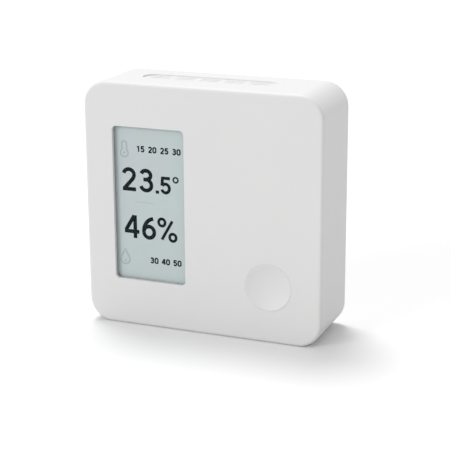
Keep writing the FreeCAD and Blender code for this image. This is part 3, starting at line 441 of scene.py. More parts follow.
def board_finish(green):
    """Solder mask over copper: tracks and plated holes show lighter and stand a little proud."""
    finish = Finish("board_green")
    x, _, z = finish.axes()
    flat = finish.mapped(Rotation=(QUARTER_TURN, 0, 0))
    patches = finish.cells(TRACK_BUNDLE, flat, "Color", voronoi_dimensions="2D", distance="CHEBYCHEV")
    kind = finish.axes(patches)[0]
    level = (z.repeated(TRACK_PITCH) < 0.3) * (kind > 0.6)
    upright = (x.repeated(TRACK_PITCH) < 0.3) * (kind < 0.35)
    vias = finish.cells(VIA_PITCH, flat, voronoi_dimensions="2D")
    tracks = (level + upright + (vias < 0.11)).at_most(1.0)
    fine = finish.noise(0.3 * MM)
    base = finish.mix(finish.noise(9 * MM), scaled(green, 0.85), green)
    copper = (green[0] * 2.4 + 0.01, green[1] * 1.7, green[2] * 1.6)
    marked = finish.mix(tracks * 0.8, base, copper)
    return finish.shader(
        Base_Color=finish.mix(vias < 0.055, marked, (0.5, 0.48, 0.42)),
        Roughness=fine * 0.16 + 0.26, Coat_Weight=0.25,
        Normal=finish.bump(tracks * 0.8 + fine * 0.2, 0.02 * MM))


def package(name, base):
    """Moulded chip packages with a fine eroded surface."""
    finish = Finish(name)
    fine = finish.noise(0.09 * MM, 2.0, 0.6)
    tint = finish.mix(finish.noise(2 * MM) * 0.6, base, scaled(base, 1.5, 0.004))
    return finish.shader(Base_Color=tint, Roughness=fine * 0.2 + 0.42, Normal=finish.bump(fine, 0.004 * MM))


def amber_film():
    """Polyimide cable with copper tracks along it."""
    finish = Finish("flex_amber")
    lines = finish.ramp(finish.bands(320.0), (0.45, 0.0), (0.55, 1.0))
    return finish.covered(lines, (0.42, 0.17, 0.03), (0.62, 0.3, 0.08), 0.01 * MM,
                          Roughness=finish.noise(3 * MM) * 0.15 + 0.25, Coat_Weight=0.5)


def dust_sheet():
    """Breathable sheet with a fine pressed weave."""
    finish = Finish("membrane")
    weave = finish.add("ShaderNodeTexChecker", {"Vector": finish.place, "Scale": 1 / (0.4 * MM)}, "Fac")
    fibres = finish.noise(0.15 * MM, 3.0, 0.7)
    return finish.covered(weave * 0.5 + fibres * 0.5, (0.5, 0.5, 0.5), (0.7, 0.7, 0.7), 0.03 * MM,
                          Roughness=fibres * 0.1 + 0.85)


def foam_finish():
    """Closed-cell foam."""
    finish = Finish("foam")
    cells = finish.cells(0.35 * MM)
    return finish.covered(cells, (0.03, 0.03, 0.032), (0.075, 0.075, 0.08), 0.08 * MM,
                          Roughness=cells * 0.1 + 0.85)


def tape_finish():
    """Black double-sided tape."""
    finish = Finish("adhesive")
    fibres = finish.noise(0.4 * MM, 3.0, 0.7)
    return finish.covered(fibres, DARK_PLASTIC, (0.05, 0.05, 0.052), 0.01 * MM,
                          Roughness=fibres * 0.2 + 0.5)


def sleeve_finish(name, inside, low, high, side):
    """Printed shrink sleeve along X: one plain band at the plus end, and faint shrink marks."""
    finish = Finish(name)
    x = finish.axes()[0]
    reach = (high.x - low.x) * 0.24
    mask = x > high.x - reach if side > 0 else x < low.x + reach
    marks = finish.noise(2.2 * MM, 3.0, 0.6)
    tint = finish.mix(mask, finish.mix(marks * 0.3, inside.sleeve, scaled(inside.sleeve, 1.35)),
                      finish.mix(marks * 0.3, inside.band, scaled(inside.band, 0.8)))
    return finish.shader(Base_Color=tint, Roughness=finish.noise(0.2 * MM) * 0.12 + 0.2, Coat_Weight=0.4,
                         Normal=finish.bump(marks, 0.02 * MM))


def capacitor_sleeve():
    """Shrink sleeve with a pale polarity stripe, and bare aluminium at both ends."""
    finish = Finish("capacitor_sleeve")
    x, y, z = finish.axes()
    low, high, centre = box("buffer_capacitor")
    stripe = (z > centre.z + 1.6 * MM) * (y > centre.y)
    ends = (x > high.x - 0.5 * MM) + (x < low.x + 0.4 * MM)
    marks = finish.noise(1.5 * MM)
    sleeve = finish.mix(stripe, (0.012, 0.014, 0.03), (0.3, 0.31, 0.33))
    return finish.shader(
        Base_Color=finish.mix(ends, sleeve, (0.62, 0.62, 0.63)),
        Metallic=ends * 0.9, Roughness=marks * 0.12 + 0.24,
        Normal=finish.bump(marks, 0.01 * MM), Coat_Weight=0.3)


def shield_finish():
    """Tinned sheet with rows of small round holes. The holes are real, but their near-black colour is
    painted shade of the dark inside the shield.
    """
    finish = Finish("shield_tin")
    x, y, z = finish.axes()
    _, high, centre = box("radio_shield")
    across = x.repeated(HOLE_PITCH, centre.x - HOLE_PITCH / 2) - 0.5
    upright = z.repeated(HOLE_PITCH, centre.z - HOLE_PITCH / 2) - 0.5
    holes = (across * across + upright * upright < 0.05) * (y > high.y - 0.1 * MM)
    cloud = finish.noise(3 * MM, 3.0)
    sheet = finish.mix(cloud, (0.55, 0.55, 0.54), (0.75, 0.745, 0.73))
    # Painted shade: each hole is coloured near-black for the dark behind it, and the bump dents it.
    return finish.shader(
        Base_Color=finish.mix(holes, sheet, (0.01, 0.01, 0.01)),
        Metallic=0.95 - holes * 0.9, Roughness=cloud * 0.2 + 0.25,
        Normal=finish.bump(holes * -1 + cloud * 0.1, 0.05 * MM))


def floor_finish(studio):
    """The pale floor; what it throws back on the object is a calmer grey."""
    finish = Finish("studio_floor")
    tint = finish.mix(finish.noise(0.3) * 0.3, studio.floor, scaled(studio.floor, 0.995))
    shown = finish.mix(seen_directly(finish), scaled(studio.floor, studio.floor_echo), tint)
    return finish.shader(Base_Color=shown, Roughness=0.9, Specular_IOR_Level=0.0)


def seen_directly(graph):
    """1 for what the camera sees, also through glass and in metal, and 0 for light on a surface."""
    camera, glossy, through = graph.add("ShaderNodeLightPath", output=(
        "Is Camera Ray", "Is Glossy Ray", "Is Transmission Ray"))
    return (camera + glossy + through).at_most(1.0)


def assign(finish, *names):
    """Gives a finish to nodes of the frame."""
    for name in names:
        for place in NODES[name].material_slots:
            place.material = finish


# Meshes

def add_object(name, data):
    item = bpy.data.objects.new(name, data)
    bpy.context.scene.collection.objects.link(item)
    return item


def add_piece(name, mesh, stands_for=None, body="case"):
    """Puts a finished mesh in the scene, on a body of the frame."""
    mesh.name = name
    piece = add_object(name, mesh)
    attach(piece, body)
    if stands_for:
        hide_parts(stands_for)


def as_mesh(shape, finish, sharp):
    """A plain smooth mesh, with sharp edges past an angle in degrees."""
    mesh = bpy.data.meshes.new("shape")
    shape.to_mesh(mesh)
    shape.free()
    mesh.materials.append(finish)
    mesh.polygons.foreach_set("use_smooth", [True] * len(mesh.polygons))
    mesh.set_sharp_from_angle(angle=math.radians(sharp))
    return mesh


def arc(centre, radii, start, end, count):
    """Points of an elliptical arc, with its angles in degrees."""
    turns = (math.radians(start + (end - start) * step / count) for step in range(count + 1))
    return [(centre[0] + radii[0] * math.cos(turn), centre[1] + radii[1] * math.sin(turn))
            for turn in turns]


def lathe(profile, steps, axis, place, finish):
    """Turns a profile of (radius, height) points, closed or from pole to pole, about an axis."""
    shape = bmesh.new()
    turns = [2 * math.pi * step / steps for step in range(steps)]
    rings = [[shape.verts.new((radius * math.cos(turn), radius * math.sin(turn), height)) for turn in turns]
             for radius, height in profile]
    for first, second in zip(rings, rings[1:]):
        for step in range(steps):
            shape.faces.new((first[step - 1], first[step], second[step], second[step - 1]))
    bmesh.ops.remove_doubles(shape, verts=shape.verts, dist=WELD)
    bmesh.ops.recalc_face_normals(shape, faces=shape.faces)
    turn = Vector((0, 0, 1)).rotation_difference(Vector(axis)).to_matrix().to_4x4()
    bmesh.ops.transform(shape, matrix=Matrix.Translation(place) @ turn, verts=shape.verts)
    return as_mesh(shape, finish, 38)


def rounded_plate(low, high, thick, finish):
    """A plate with round corners that faces the front, with a fine bevel on its edges."""
    left, right = low.x + LENS_CORNER, high.x - LENS_CORNER
    base, top = low.z + LENS_CORNER, high.z - LENS_CORNER
    outline = []
    for start, centre in ((0, (right, top)), (90, (left, top)), (180, (left, base)), (270, (right, base))):
        outline += arc(centre, (LENS_CORNER, LENS_CORNER), start, start + 90, 8)
    shape = bmesh.new()
    face = shape.faces.new([shape.verts.new((x, low.y, z)) for x, z in outline])
    grown = bmesh.ops.extrude_face_region(shape, geom=[face])
    moved = [item for item in grown["geom"] if isinstance(item, bmesh.types.BMVert)]
    bmesh.ops.translate(shape, verts=moved, vec=(0, thick, 0))
    bmesh.ops.recalc_face_normals(shape, faces=shape.faces)
    rims = [edge for edge in shape.edges if abs(edge.verts[0].co.y - edge.verts[1].co.y) < thick / 2]
    bmesh.ops.bevel(shape, geom=rims, offset=thick / 8, segments=2, affect="EDGES", profile=0.5)
    return as_mesh(shape, finish, 50)


# Geometry trees

class Shape(Graph):
    """A geometry tree with named inputs. It ends in Realize Instances and Set Material."""

    def __init__(self, name, **inputs):
        super().__init__(bpy.data.node_groups.new(name, "GeometryNodeTree"))
        inputs = {"Geometry": "Geometry", **inputs, "Material": "Material"}
        for label, kind in inputs.items():
            self.tree.interface.new_socket(label, in_out="INPUT", socket_type=f"NodeSocket{kind}")
        self.tree.interface.new_socket("Geometry", in_out="OUTPUT", socket_type="NodeSocketGeometry")
        self.given = dict(zip(inputs, self.add("NodeGroupInput", output=tuple(inputs))))

    def __getitem__(self, label):
        return self.given[label]

    def end(self, geometry, smooth):
        shaded = self.add("GeometryNodeSetShadeSmooth", {"Geometry": geometry, "Shade Smooth": smooth})
        real = self.add("GeometryNodeRealizeInstances", {"Geometry": shaded})
        painted = self.add("GeometryNodeSetMaterial", {"Geometry": real, "Material": self["Material"]})
        self.add("NodeGroupOutput", {0: painted})
        return self

    def run(self, mesh, **values):
        """The tree's result on a mesh, as a plain mesh with the one material."""
        holder = add_object(self.tree.name, mesh)
        modifier = holder.modifiers.new(self.tree.name, "NODES")
        modifier.node_group = self.tree
        for item in self.tree.interface.items_tree:
            if item.in_out == "INPUT" and item.name in values:
                modifier[item.identifier] = values[item.name]
        depsgraph = bpy.context.evaluated_depsgraph_get()
        result = bpy.data.meshes.new_from_object(holder.evaluated_get(depsgraph),
                                                 preserve_all_data_layers=True, depsgraph=depsgraph)
        holder.modifiers.remove(modifier)
        bpy.data.objects.remove(holder)
        result.materials.clear()
        result.materials.append(values["Material"])
        return result


def stroke_tree():
    """Sweeps a flat bar along lines drawn on the floor, joins the bars and stands them up."""
    tree = Shape("strokes", Width="Float", Thickness="Float", Place="Vector")
    line = tree.add("GeometryNodeMeshToCurve", {"Mesh": tree["Geometry"]})
    level = tree.add("GeometryNodeSetCurveNormal", {"Curve": line}, mode="Z_UP")
    bar = tree.add("GeometryNodeCurvePrimitiveQuadrilateral", {
        "Width": tree["Width"], "Height": tree["Thickness"]}, mode="RECTANGLE")
    swept = tree.add("GeometryNodeCurveToMesh", {"Curve": level, "Profile Curve": bar, "Fill Caps": True})
    joined = tree.add("GeometryNodeMeshBoolean", {"Mesh 2": swept, "Self Intersection": True},
                      operation="UNION", solver="EXACT")
    standing = tree.add("GeometryNodeTransform", {
        "Geometry": joined, "Rotation": (QUARTER_TURN, 0, 0), "Translation": tree["Place"]})
    return tree.end(standing, False)


def spring_tree():
    """A round wire wound from one radius to another about Z, then turned and placed."""
    tree = Shape("springs", Turns="Float", Bottom="Float", Top="Float", Height="Float", Wire="Float",
                 Turn="Vector", Place="Vector")
    spiral = tree.add("GeometryNodeCurveSpiral", {
        "Resolution": 40, "Rotations": tree["Turns"], "Start Radius": tree["Bottom"],
        "End Radius": tree["Top"], "Height": tree["Height"]})
    wire = tree.add("GeometryNodeCurvePrimitiveCircle", {"Resolution": 12, "Radius": tree["Wire"]})
    swept = tree.add("GeometryNodeCurveToMesh", {"Curve": spiral, "Profile Curve": wire, "Fill Caps": True})
    placed = tree.add("GeometryNodeTransform", {
        "Geometry": swept, "Rotation": tree["Turn"], "Translation": tree["Place"]})
    return tree.end(placed, True)


def block_tree():
    """A block on each point, turned about Y by its angle. Its inner half can rise, as a leg's does."""
    tree = Shape("blocks", Width="Float", Reach="Float", Thickness="Float", Rise="Float")
    size = tree.add("ShaderNodeCombineXYZ", {
        "X": tree["Reach"], "Y": tree["Thickness"], "Z": tree["Width"]})
    block = tree.add("GeometryNodeMeshCube", {"Size": size, "Vertices X": 5})
    here = tree.add("GeometryNodeInputPosition")
    inwards = tree.add("ShaderNodeSeparateXYZ", {0: here}) * -1.0
    lift = (inwards.math("MAXIMUM", inwards, 0.0) * 4.0).at_most(tree["Rise"])
    raised = tree.add("ShaderNodeCombineXYZ", {"Y": lift * -1.0})
    leg = tree.add("GeometryNodeSetPosition", {"Geometry": block, "Offset": raised})
    turn = tree.add("GeometryNodeInputNamedAttribute", {"Name": "turn"}, data_type="FLOAT")
    about = tree.add("ShaderNodeCombineXYZ", {"Y": turn})
    rotation = tree.add("FunctionNodeEulerToRotation", {"Euler": about})
    blocks = tree.add("GeometryNodeInstanceOnPoints", {
        "Points": tree["Geometry"], "Instance": leg, "Rotation": rotation})
    return tree.end(blocks, False)


def lines_mesh(strokes):
    """A mesh of edges from lists of points in millimetres; a list that ends where it starts is a ring."""
    mesh = bpy.data.meshes.new("lines")
    points, edges = [], []
    for stroke in strokes:
        first = len(points)
        ring = math.dist(stroke[0], stroke[-1]) < WELD
        kept = stroke[:-1] if ring else stroke
        points.extend((a * MM, b * MM, 0) for a, b in kept)
        edges.extend((first + step, first + step + 1) for step in range(len(kept) - 1))
        if ring:
            edges.append((first + len(kept) - 1, first))
    mesh.from_pydata(points, edges, [])
    return mesh


def turned_points(points, turns):
    """Points that each carry an angle."""
    mesh = bpy.data.meshes.new("points")
    mesh.from_pydata(points, [], [])
    mesh.attributes.new("turn", "FLOAT", "POINT").data.foreach_set("value", turns)
    return mesh


# Numerals as strokes, one unit high: W is the usual step to the next sign, and H is half a stroke

W = 0.79
H = 0.074

GLYPHS = {
    "0": (W, [arc((0.395, 0.69), (0.25, 1 - H - 0.69), 0, 180, 14)
                 + arc((0.395, 0.31), (0.25, 0.31 - H), 180, 360, 14) + [(0.645, 0.69)]]),
    "1": (W, [[(0.17, 0.80), (0.46, 0.91)], [(0.47, 1.0), (0.47, 0.0)]]),
    "2": (W, [arc((0.385, 0.70), (0.24, 1 - H - 0.70), 170, -22, 16) + [(0.545, 0.51), (0.165, 0.085)],
                 [(0.09, H), (0.70, H)]]),
    "3": (W, [arc((0.38, 0.735), (0.215, 1 - H - 0.735), 165, -90, 18), [(0.26, 0.542), (0.38, 0.542)],
                 arc((0.38, 0.308), (0.245, 0.308 - H), 90, -165, 20)]),
    "4": (W, [[(0.545, 1.0), (0.545, 0.0)], [(0.505, 0.975), (0.115, 0.33)],
                 [(0.055, 0.285), (0.735, 0.285)]]),
    "5": (W, [[(0.185, 1 - H), (0.675, 1 - H)], [(0.222, 1.0), (0.172, 0.485)],
                 arc((0.39, 0.333), (0.24, 0.333 - H), 148, -162, 24)]),
    "6": (W, [arc((0.395, 0.322), (0.24, 0.322 - H), 0, 360, 28),
                 arc((0.66, 0.34), (0.505, 0.585), 97, 182, 14)]),
    ".": (0.27, [[(0.045, H), (0.25, H)]]),
    "%": (0.98, [arc((0.203, 0.808), (0.148, 0.158), 0, 360, 22),
                 arc((0.698, 0.195), (0.148, 0.158), 0, 360, 22), [(0.683, 0.909), (0.196, 0.067)]]),
}

# Where each part of the image starts: left and base, from the middle of the case, in millimetres
LARGE_READING = ("23", -27.8, 43.6)
SMALL_READING = (".5", -16.1, 43.6)
LOWER_READING = ("46", -27.25, 28.3)
PERCENT = ("%", -15.48, 28.3)
DEGREE_RING = (-9.05, 48.36, 0.8)
UPPER_ROW = (("15", "20", "25", "30"), -22.25, 56.3, 4.05)
LOWER_ROW = (("30", "40", "50"), -18.25, 20.6, 3.95)
DIVIDER = [(-22.4, 40.2), (-16.5, 40.2)]
THERMOMETER = (-26.3, 54.3)
BULB_SPOT = (-26.3, 55.65)
DROP = (-26.9, 19.4)
DROP_SPOT = (-26.8, 20.6)
SPOT_RADIUS = 0.2


def write_glyphs(text, left, base, height):
    """Strokes of a row of numerals, in millimetres."""
    strokes = []
    for sign in text:
        advance, lines = GLYPHS[sign]
        strokes += [[(left + a * height, base + b * height) for a, b in line] for line in lines]
        left += advance * height
    return strokes


def number_row(numbers, left, base, pitch, height):
    """Evenly spaced numbers, as on a scale."""
    return [stroke for place, text in enumerate(numbers)
            for stroke in write_glyphs(text, left + place * pitch, base, height)]


def ring(x, z, radius, steps):
    return [arc((x, z), (radius, radius), 0, 360, steps)]


def icons():
    """Outlines of a thermometer and a drop, 3 mm wide and 5 mm high."""
    x, base = THERMOMETER
    bulb = arc((x, base + 1.35), (1.3, 1.3), 128, 412, 24)
    stem = arc((x, base + 4.45), (0.8, 0.6), 0, 180, 10)
    x, base = DROP
    right = [(x + 0.1, base + 5.0), (x + 0.6, base + 3.9), (x + 1.2, base + 2.8)]
    belly = arc((x, base + 1.55), (1.55, 1.5), 14, -194, 26)
    left = [(x - 1.2, base + 2.8), (x - 0.5, base + 3.9), (x + 0.1, base + 5.0)]
    return [bulb + stem + bulb[:1], right + belly + left]


# Profiles of turned pieces

def dish_profile(case):
    """The hollow from its middle outwards: a shallow sphere that runs out softly into the flat ring."""
    hollow = case.key_radius - DISH_RIM
    profile = []
    for step in range(DISH_STEPS + 1):
        radius = hollow * step / DISH_STEPS
        bowl = case.dish_depth * (1 - (radius / hollow) ** 2)
        runout = min((hollow - radius) / DISH_ROUND, 1)
        profile.append((radius, bowl * (1 - (1 - runout) ** 2 / 2)))
    return profile


def groove(radius, shoulder, slope):
    """The rolled groove below a cell's shoulder."""
    top, base = shoulder - GROOVE_TOP, shoulder - GROOVE_BASE
    return [(radius, base - slope), (radius - GROOVE, base), (radius - GROOVE, top), (radius, top + slope)]


def can_profile(radius, long):
    """From the minus end, with its shallow ring, to the plus cap."""
    shoulder = long - CAP_HEIGHT
    return [
        (0.0, 0.35), (3.6, 0.35), (4.0, 0.05), (4.6, 0.0),
        *arc((radius - 0.7, 0.7), (0.7, 0.7), -90, 0, 6),
        *groove(radius, shoulder, 0.3),
        *arc((radius - 0.6, shoulder - 0.6), (0.6, 0.6), 0, 90, 6),
        (CAP_RADIUS + 0.5, shoulder), (CAP_RADIUS + 0.15, shoulder + 0.12), (CAP_RADIUS, shoulder + 0.4),
        *arc((CAP_RADIUS - 0.3, long - 0.3), (0.3, 0.3), 0, 90, 5),
        (0.0, long),
    ]


def sleeve_profile(radius, long, thick):
    """A thin closed wall round the can, drawn in over both of its ends."""
    shoulder = long - CAP_HEIGHT
    outside = [
        (radius - 1.5, 0.0), (radius - 0.9, 0.0),
        *arc((radius - 0.8, 0.8), (0.8, 0.8), -80, 0, 6),
        *groove(radius, shoulder, 0.4),
        *arc((radius - 0.7, shoulder + thick - 0.7), (0.7, 0.7), 0, 90, 6),
        (radius - 1.4, shoulder + thick),
    ]
    inside = [(radius - 1.4, shoulder), (radius - thick, shoulder - 1.0), (radius - thick, 1.0),
              (radius - 1.5, thick)]
    return outside + inside + outside[:1]


# Operators

class SENSOR_OT_case(bpy.types.Operator):
    """Gives the case and the wall plate their moulded finish"""

    bl_idname = "sensor.case"
    bl_label = "Case and wall plate"

    def execute(self, context):
        case = context.scene.sensor_case
        grain, height, gloss = case.grain, case.grain_height, case.roughness
        assign(moulded("case_plastic", case.plastic, grain, height, gloss), "front_cover")
        assign(moulded("plate_plastic", case.plate, grain * 1.5, height * 1.5, gloss), "wall_plate")
        assign(dust_sheet(), "vent_membrane")
        return {"FINISHED"}


class SENSOR_OT_key(bpy.types.Operator):
    """Turns the dished key with its flange and post"""

    bl_idname = "sensor.key"
    bl_label = "Key"

    def execute(self, context):
        case = context.scene.sensor_case
        low, high, centre = box("button_cap")
        depth = high.y - low.y
        flange = (high.x - low.x) / 2
        outer = case.key_radius
        inner = outer - KEY_WALL
        skin = case.dish_depth + KEY_SKIN
        profile = dish_profile(case) + [
            (outer, 0.0), (outer, FLANGE_FRONT), (flange, FLANGE_FRONT), (flange, FLANGE_BACK),
            (inner, FLANGE_BACK), (inner, skin), (POST_RADIUS, skin), (POST_RADIUS, depth), (0.0, depth)]
        place = Vector((centre.x, low.y, centre.z))
        finish = moulded("key_plastic", case.plastic, case.grain, case.grain_height, case.roughness)
        mesh = lathe(profile, KEY_STEPS, (0, 1, 0), place, finish)
        add_piece("key_cap", mesh, "button_cap", "key")
        return {"FINISHED"}


class SENSOR_OT_screen(bpy.types.Operator):
    """Draws the readings, the icons and the rows of numbers on the display's film"""

    bl_idname = "sensor.screen"
    bl_label = "Screen"

    def execute(self, context):
        screen = context.scene.sensor_screen
        assign(paper_film(screen.paper), "e_paper_film")
        self.add_lens(screen)
        tree = stroke_tree()
        ink = screen_ink("screen_ink", screen.ink)
        ghost = screen_ink("screen_ghost", screen.ghost)
        big = screen.big_height / MM
        small = screen.small_height / MM
        row = screen.row_height / MM
        spots = ring(*BULB_SPOT, SPOT_RADIUS, 16) + ring(*DROP_SPOT, SPOT_RADIUS, 16)
        jobs = (
            ("large_readings", write_glyphs(*LARGE_READING, big) + write_glyphs(*LOWER_READING, big),
             screen.big_stroke, ink),
            ("small_reading", write_glyphs(*SMALL_READING, small), screen.small_stroke, ink),
            ("percent_sign", write_glyphs(*PERCENT, big), screen.percent_stroke, ink),
            ("degree_ring", ring(*DEGREE_RING, 24), screen.sign_stroke, ink),
            ("number_rows", number_row(*UPPER_ROW, row) + number_row(*LOWER_ROW, row),
             screen.row_stroke, ink),
            ("screen_icons", icons(), screen.sign_stroke, ghost),
            ("icon_spots", spots, 1.9 * SPOT_RADIUS * MM, ghost),
            ("screen_divider", [DIVIDER], DIVIDER_STROKE, ghost),
        )
        place = Vector((0, box("e_paper_film")[0].y - INK_THICKNESS / 2, 0))
        for name, strokes, width, finish in jobs:
            mesh = tree.run(lines_mesh(strokes), Width=width, Thickness=INK_THICKNESS, Place=place,
                            Material=finish)
            add_piece(name, mesh)
        return {"FINISHED"}

    def add_lens(self, screen):
        """A clear plate, a hair in front of the film so that the image fits behind it."""
        low, high, _ = box("display_lens")
        thick = high.y - low.y - LENS_GAP
        mesh = rounded_plate(low, high, thick, lens_sheet(screen.lens_tint))
        add_piece("lens_plate", mesh, "display_lens")


class SENSOR_OT_springs(bpy.types.Operator):
    """Winds the contact springs and the antenna"""

    bl_idname = "sensor.springs"
    bl_label = "Springs"

    def execute(self, context):
        inside = context.scene.sensor_inside
        tree = spring_tree()
        empty = bpy.data.meshes.new("empty")
        steel = metal("spring_steel", SPRING_STEEL, "x", 0.24)
        gold = metal("gold_wire", GOLD, "y", 0.2)
        wire = inside.spring_wire / 2
        first, last, _ = box("contact_springs")
        for row, side in (("upper", 1), ("lower", -1)):
            low, high, cell = box(f"{row}_battery")
            wall, stop = (first.x, low.x) if side > 0 else (last.x, high.x)
            mesh = tree.run(empty, Turns=inside.spring_turns, Bottom=SPRING_BASE, Top=SPRING_TIP,
                            Height=abs(stop - wall) - 2 * wire, Wire=wire,
                            Turn=Vector((0, QUARTER_TURN * side, 0)),
                            Place=Vector((wall + side * wire, cell.y, cell.z)), Material=steel)
            add_piece(f"{row}_contact_spring", mesh, "contact_springs")
        low, high, centre = box("antenna_spring")
        wire = inside.antenna_wire / 2
        radius = (high.x - low.x) / 2 - wire
        mesh = tree.run(empty, Turns=inside.antenna_turns, Bottom=radius, Top=radius,
                        Height=high.y - low.y - 2 * wire, Wire=wire,
                        Turn=Vector((-QUARTER_TURN, 0, 0)),
                        Place=Vector((centre.x, low.y + wire, centre.z)), Material=gold)
        add_piece("antenna_coil", mesh, "antenna_spring")
        return {"FINISHED"}


class SENSOR_OT_cells(bpy.types.Operator):
    """Turns the two cells, each a steel can in a shrink sleeve"""

    bl_idname = "sensor.cells"
    bl_label = "Cells"

    def execute(self, context):
        inside = context.scene.sensor_inside
        steel = metal("cell_steel", CAN_STEEL, "x", 0.22)
        thick = inside.sleeve_thickness / MM
        for row, side in (("upper", 1), ("lower", -1)):
            node = f"{row}_battery"
            low, high, centre = box(node)
            radius = (high.z - low.z) / 2 / MM
            long = (high.x - low.x) / MM
            place = Vector((low.x if side > 0 else high.x, centre.y, centre.z))
            printed = sleeve_finish(f"{row}_cell_sleeve", inside, low, high, side)
            for part, profile, finish, slot in (
                ("can", can_profile(radius - thick, long), steel, "steel"),
                ("sleeve", sleeve_profile(radius, long, thick), printed, "battery_sleeve"),
            ):
                profile = [(out * MM, along * MM) for out, along in profile]
                mesh = lathe(profile, CELL_STEPS, (side, 0, 0), place, finish)
                add_piece(f"{row}_cell_{part}", mesh, node)
        return {"FINISHED"}


class SENSOR_OT_boards(bpy.types.Operator):
    """Gives the boards and what is on them their finishes, and the chips their legs"""

    bl_idname = "sensor.boards"
    bl_label = "Boards"

    def execute(self, context):
        board = board_finish(context.scene.sensor_inside.board)
        assign(board, "main_board", "radio_board", "sensor_board")
        assign(package("chip_black", BLACK_PACKAGE), "board_chips", "panel_driver", "humidity_sensor")
        assign(package("supply_parts", BROWN_PACKAGE), "board_passives")
        dark = moulded("dark_plastic", DARK_PLASTIC, 0.2 * MM, 0.002 * MM, 0.4)
        assign(dark, "switch_body", "flex_connector")
        assign(metal("crystal_tin", TIN, "x", 0.24), "crystal_can")
        assign(shield_finish(), "radio_shield")
        assign(capacitor_sleeve(), "buffer_capacitor")
        assign(amber_film(), "display_flex")
        assign(foam_finish(), "sensor_gasket")
        tree = block_tree()
        tin = metal("leg_tin", TIN, "x", 0.22)
        self.add_legs(tree, tin)
        self.add_small_parts(tree, tin)
        return {"FINISHED"}

    def add_legs(self, tree, tin):
        """Legs along the four sides of the controller."""
        low, high, _ = box("board_chips")
        centre = Vector((low.x + CHIP_SIDE / 2, high.y - LEG_THICKNESS / 2, high.z - CHIP_SIDE / 2))
        out = (CHIP_SIDE + LEG_REACH) / 2
        points, turns = [], []
        for side in range(4):
            turn = -QUARTER_TURN * side
            for leg in range(LEGS_A_SIDE):
                along = (leg - (LEGS_A_SIDE - 1) / 2) * LEG_PITCH
                points.append(centre + Matrix.Rotation(turn, 3, "Y") @ Vector((out, 0, along)))
                turns.append(turn)
        mesh = tree.run(turned_points(points, turns), Width=LEG_WIDTH, Reach=LEG_REACH,
                        Thickness=LEG_THICKNESS, Rise=LEG_RISE, Material=tin)
        add_piece("chip_legs", mesh)

    def add_small_parts(self, tree, tin):
        """Two-terminal parts on the back of the board: blocks between tinned ends."""
        back = box("main_board")[1].y + PART_HEIGHT / 2
        ends, end_turns = [], []
        for name, places, finish in (
            ("small_capacitors", CAPACITORS, package("small_capacitor", CAPACITOR_BODY)),
            ("small_resistors", RESISTORS, package("small_resistor", RESISTOR_BODY)),
        ):
            points, turns = [], []
            for x, z, upright in places:
                points.append(Vector((x * MM, back, z * MM)))
                turns.append(-QUARTER_TURN if upright else 0)
                along = Vector((1 - upright, 0, upright)) * ((PART_LENGTH - PART_END) / 2)
                ends += [points[-1] - along, points[-1] + along]
                end_turns += turns[-1:] * 2
            mesh = tree.run(turned_points(points, turns), Width=PART_WIDTH * PART_BODY,
                            Reach=PART_LENGTH - 2 * PART_END, Thickness=PART_HEIGHT * PART_BODY, Rise=0.0,
                            Material=finish)
            add_piece(name, mesh)
        mesh = tree.run(turned_points(ends, end_turns), Width=PART_WIDTH, Reach=PART_END,
                        Thickness=PART_HEIGHT, Rise=0.0, Material=tin)
        add_piece("small_part_ends", mesh)


class SENSOR_OT_chassis(bpy.types.Operator):
    """Gives the chassis, the display's carrier and the metal parts their finishes"""

    bl_idname = "sensor.chassis"
    bl_label = "Chassis and metal parts"

    def execute(self, context):
        inside = context.scene.sensor_inside
        grey = moulded("inner_plastic", inside.chassis, 0.4 * MM, 0.003 * MM, 0.45, spread=0.05)
        assign(grey, "battery_chassis", "display_carrier", "switch_plunger")
        assign(metal("contact_tin", CONTACT_TIN, "z", 0.24), "contact_plates")
        assign(metal("screw_steel", SCREW_STEEL, "y", 0.28), "chassis_screws")
        assign(display_glass(), "panel_glass")
        assign(tape_finish(), "display_tape")
        return {"FINISHED"}


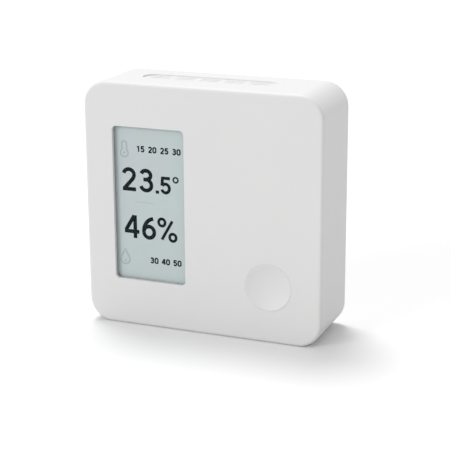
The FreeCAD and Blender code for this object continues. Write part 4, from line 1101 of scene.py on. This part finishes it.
class SENSOR_OT_stage(bpy.types.Operator):
    """Sets up the floor, the lamps, the sky and the camera"""

    bl_idname = "sensor.stage"
    bl_label = "Studio"

    def execute(self, context):
        studio = context.scene.sensor_studio
        self.add_floor(studio)
        self.set_sky(context, studio)
        self.add_light("front_light", studio.front_light, *FRONT_LIGHT)
        self.add_light("top_light", studio.top_light, *TOP_LIGHT)
        self.add_camera(context, studio)
        context.scene.view_settings.view_transform = "Standard"
        return {"FINISHED"}

    def add_floor(self, studio):
        mesh = bpy.data.meshes.new("studio_floor")
        corners = [(x * FLOOR_REACH, y * FLOOR_REACH, 0) for x, y in ((-1, -1), (1, -1), (1, 1), (-1, 1))]
        mesh.from_pydata(corners, [], [(0, 1, 2, 3)])
        mesh.materials.append(floor_finish(studio))
        add_object("studio_floor", mesh)

    def set_sky(self, context, studio):
        """White where it is seen, and softer where it lights the object."""
        world = bpy.data.worlds.new("studio_sky")
        world.use_nodes = True
        sky = Graph(world.node_tree)
        sky.tree.nodes.clear()
        strength = seen_directly(sky) * (1 - studio.sky) + studio.sky
        background = sky.add("ShaderNodeBackground", {"Color": (1, 1, 1, 1), "Strength": strength})
        sky.add("ShaderNodeOutputWorld", {"Surface": background})
        context.scene.world = world

    def add_light(self, name, strength, azimuth, elevation, spread):
        """A broad, far lamp that lights the whole floor evenly."""
        lamp = bpy.data.lights.new(name, "SUN")
        lamp.energy = strength
        lamp.angle = math.radians(spread)
        back = towards(math.radians(azimuth), math.radians(elevation))
        add_object(name, lamp).rotation_euler = back.to_track_quat("Z", "Y").to_euler()

    def add_camera(self, context, studio):
        camera = bpy.data.cameras.new("camera")
        camera.lens = studio.lens
        holder = add_object("camera", camera)
        back = towards(studio.azimuth, studio.elevation)
        holder.location = Vector(studio.target) + back * studio.distance
        turn = back.to_track_quat("Z", "Y").to_matrix() @ Matrix.Rotation(studio.roll, 3, "Z")
        holder.rotation_euler = turn.to_euler()
        context.scene.camera = holder


class SENSOR_PT_panel(bpy.types.Panel):
    """Lists the settings and the steps in the sidebar"""

    bl_idname = "SENSOR_PT_panel"
    bl_label = "Room sensor"
    bl_space_type = "VIEW_3D"
    bl_region_type = "UI"
    bl_category = "Room sensor"

    def draw(self, context):
        layout = self.layout
        for name in SETTINGS:
            column = layout.box()
            group = getattr(context.scene, name)
            for key in group.__annotations__:
                column.prop(group, key)
        for operator in OPERATORS:
            layout.operator(operator.bl_idname)


SETTINGS = {"sensor_case": CaseSettings, "sensor_screen": ScreenSettings,
            "sensor_inside": InsideSettings, "sensor_studio": StudioSettings}

OPERATORS = (SENSOR_OT_case, SENSOR_OT_key, SENSOR_OT_screen, SENSOR_OT_springs, SENSOR_OT_cells,
             SENSOR_OT_boards, SENSOR_OT_chassis, SENSOR_OT_stage)


def register():
    for item in (*SETTINGS.values(), *OPERATORS, SENSOR_PT_panel):
        bpy.utils.register_class(item)
    for name, group in SETTINGS.items():
        setattr(bpy.types.Scene, name, PointerProperty(type=group))


def unregister():
    for name in SETTINGS:
        delattr(bpy.types.Scene, name)
    for item in (SENSOR_PT_panel, *reversed(OPERATORS), *reversed(SETTINGS.values())):
        bpy.utils.unregister_class(item)


def main():
    register()
    for operator in OPERATORS:
        step = operator.bl_idname.split(".")[1]
        if getattr(bpy.ops.sensor, step)() != {"FINISHED"}:
            raise RuntimeError(f"{operator.bl_label} did not finish")


if __name__ == "__main__":
    main()
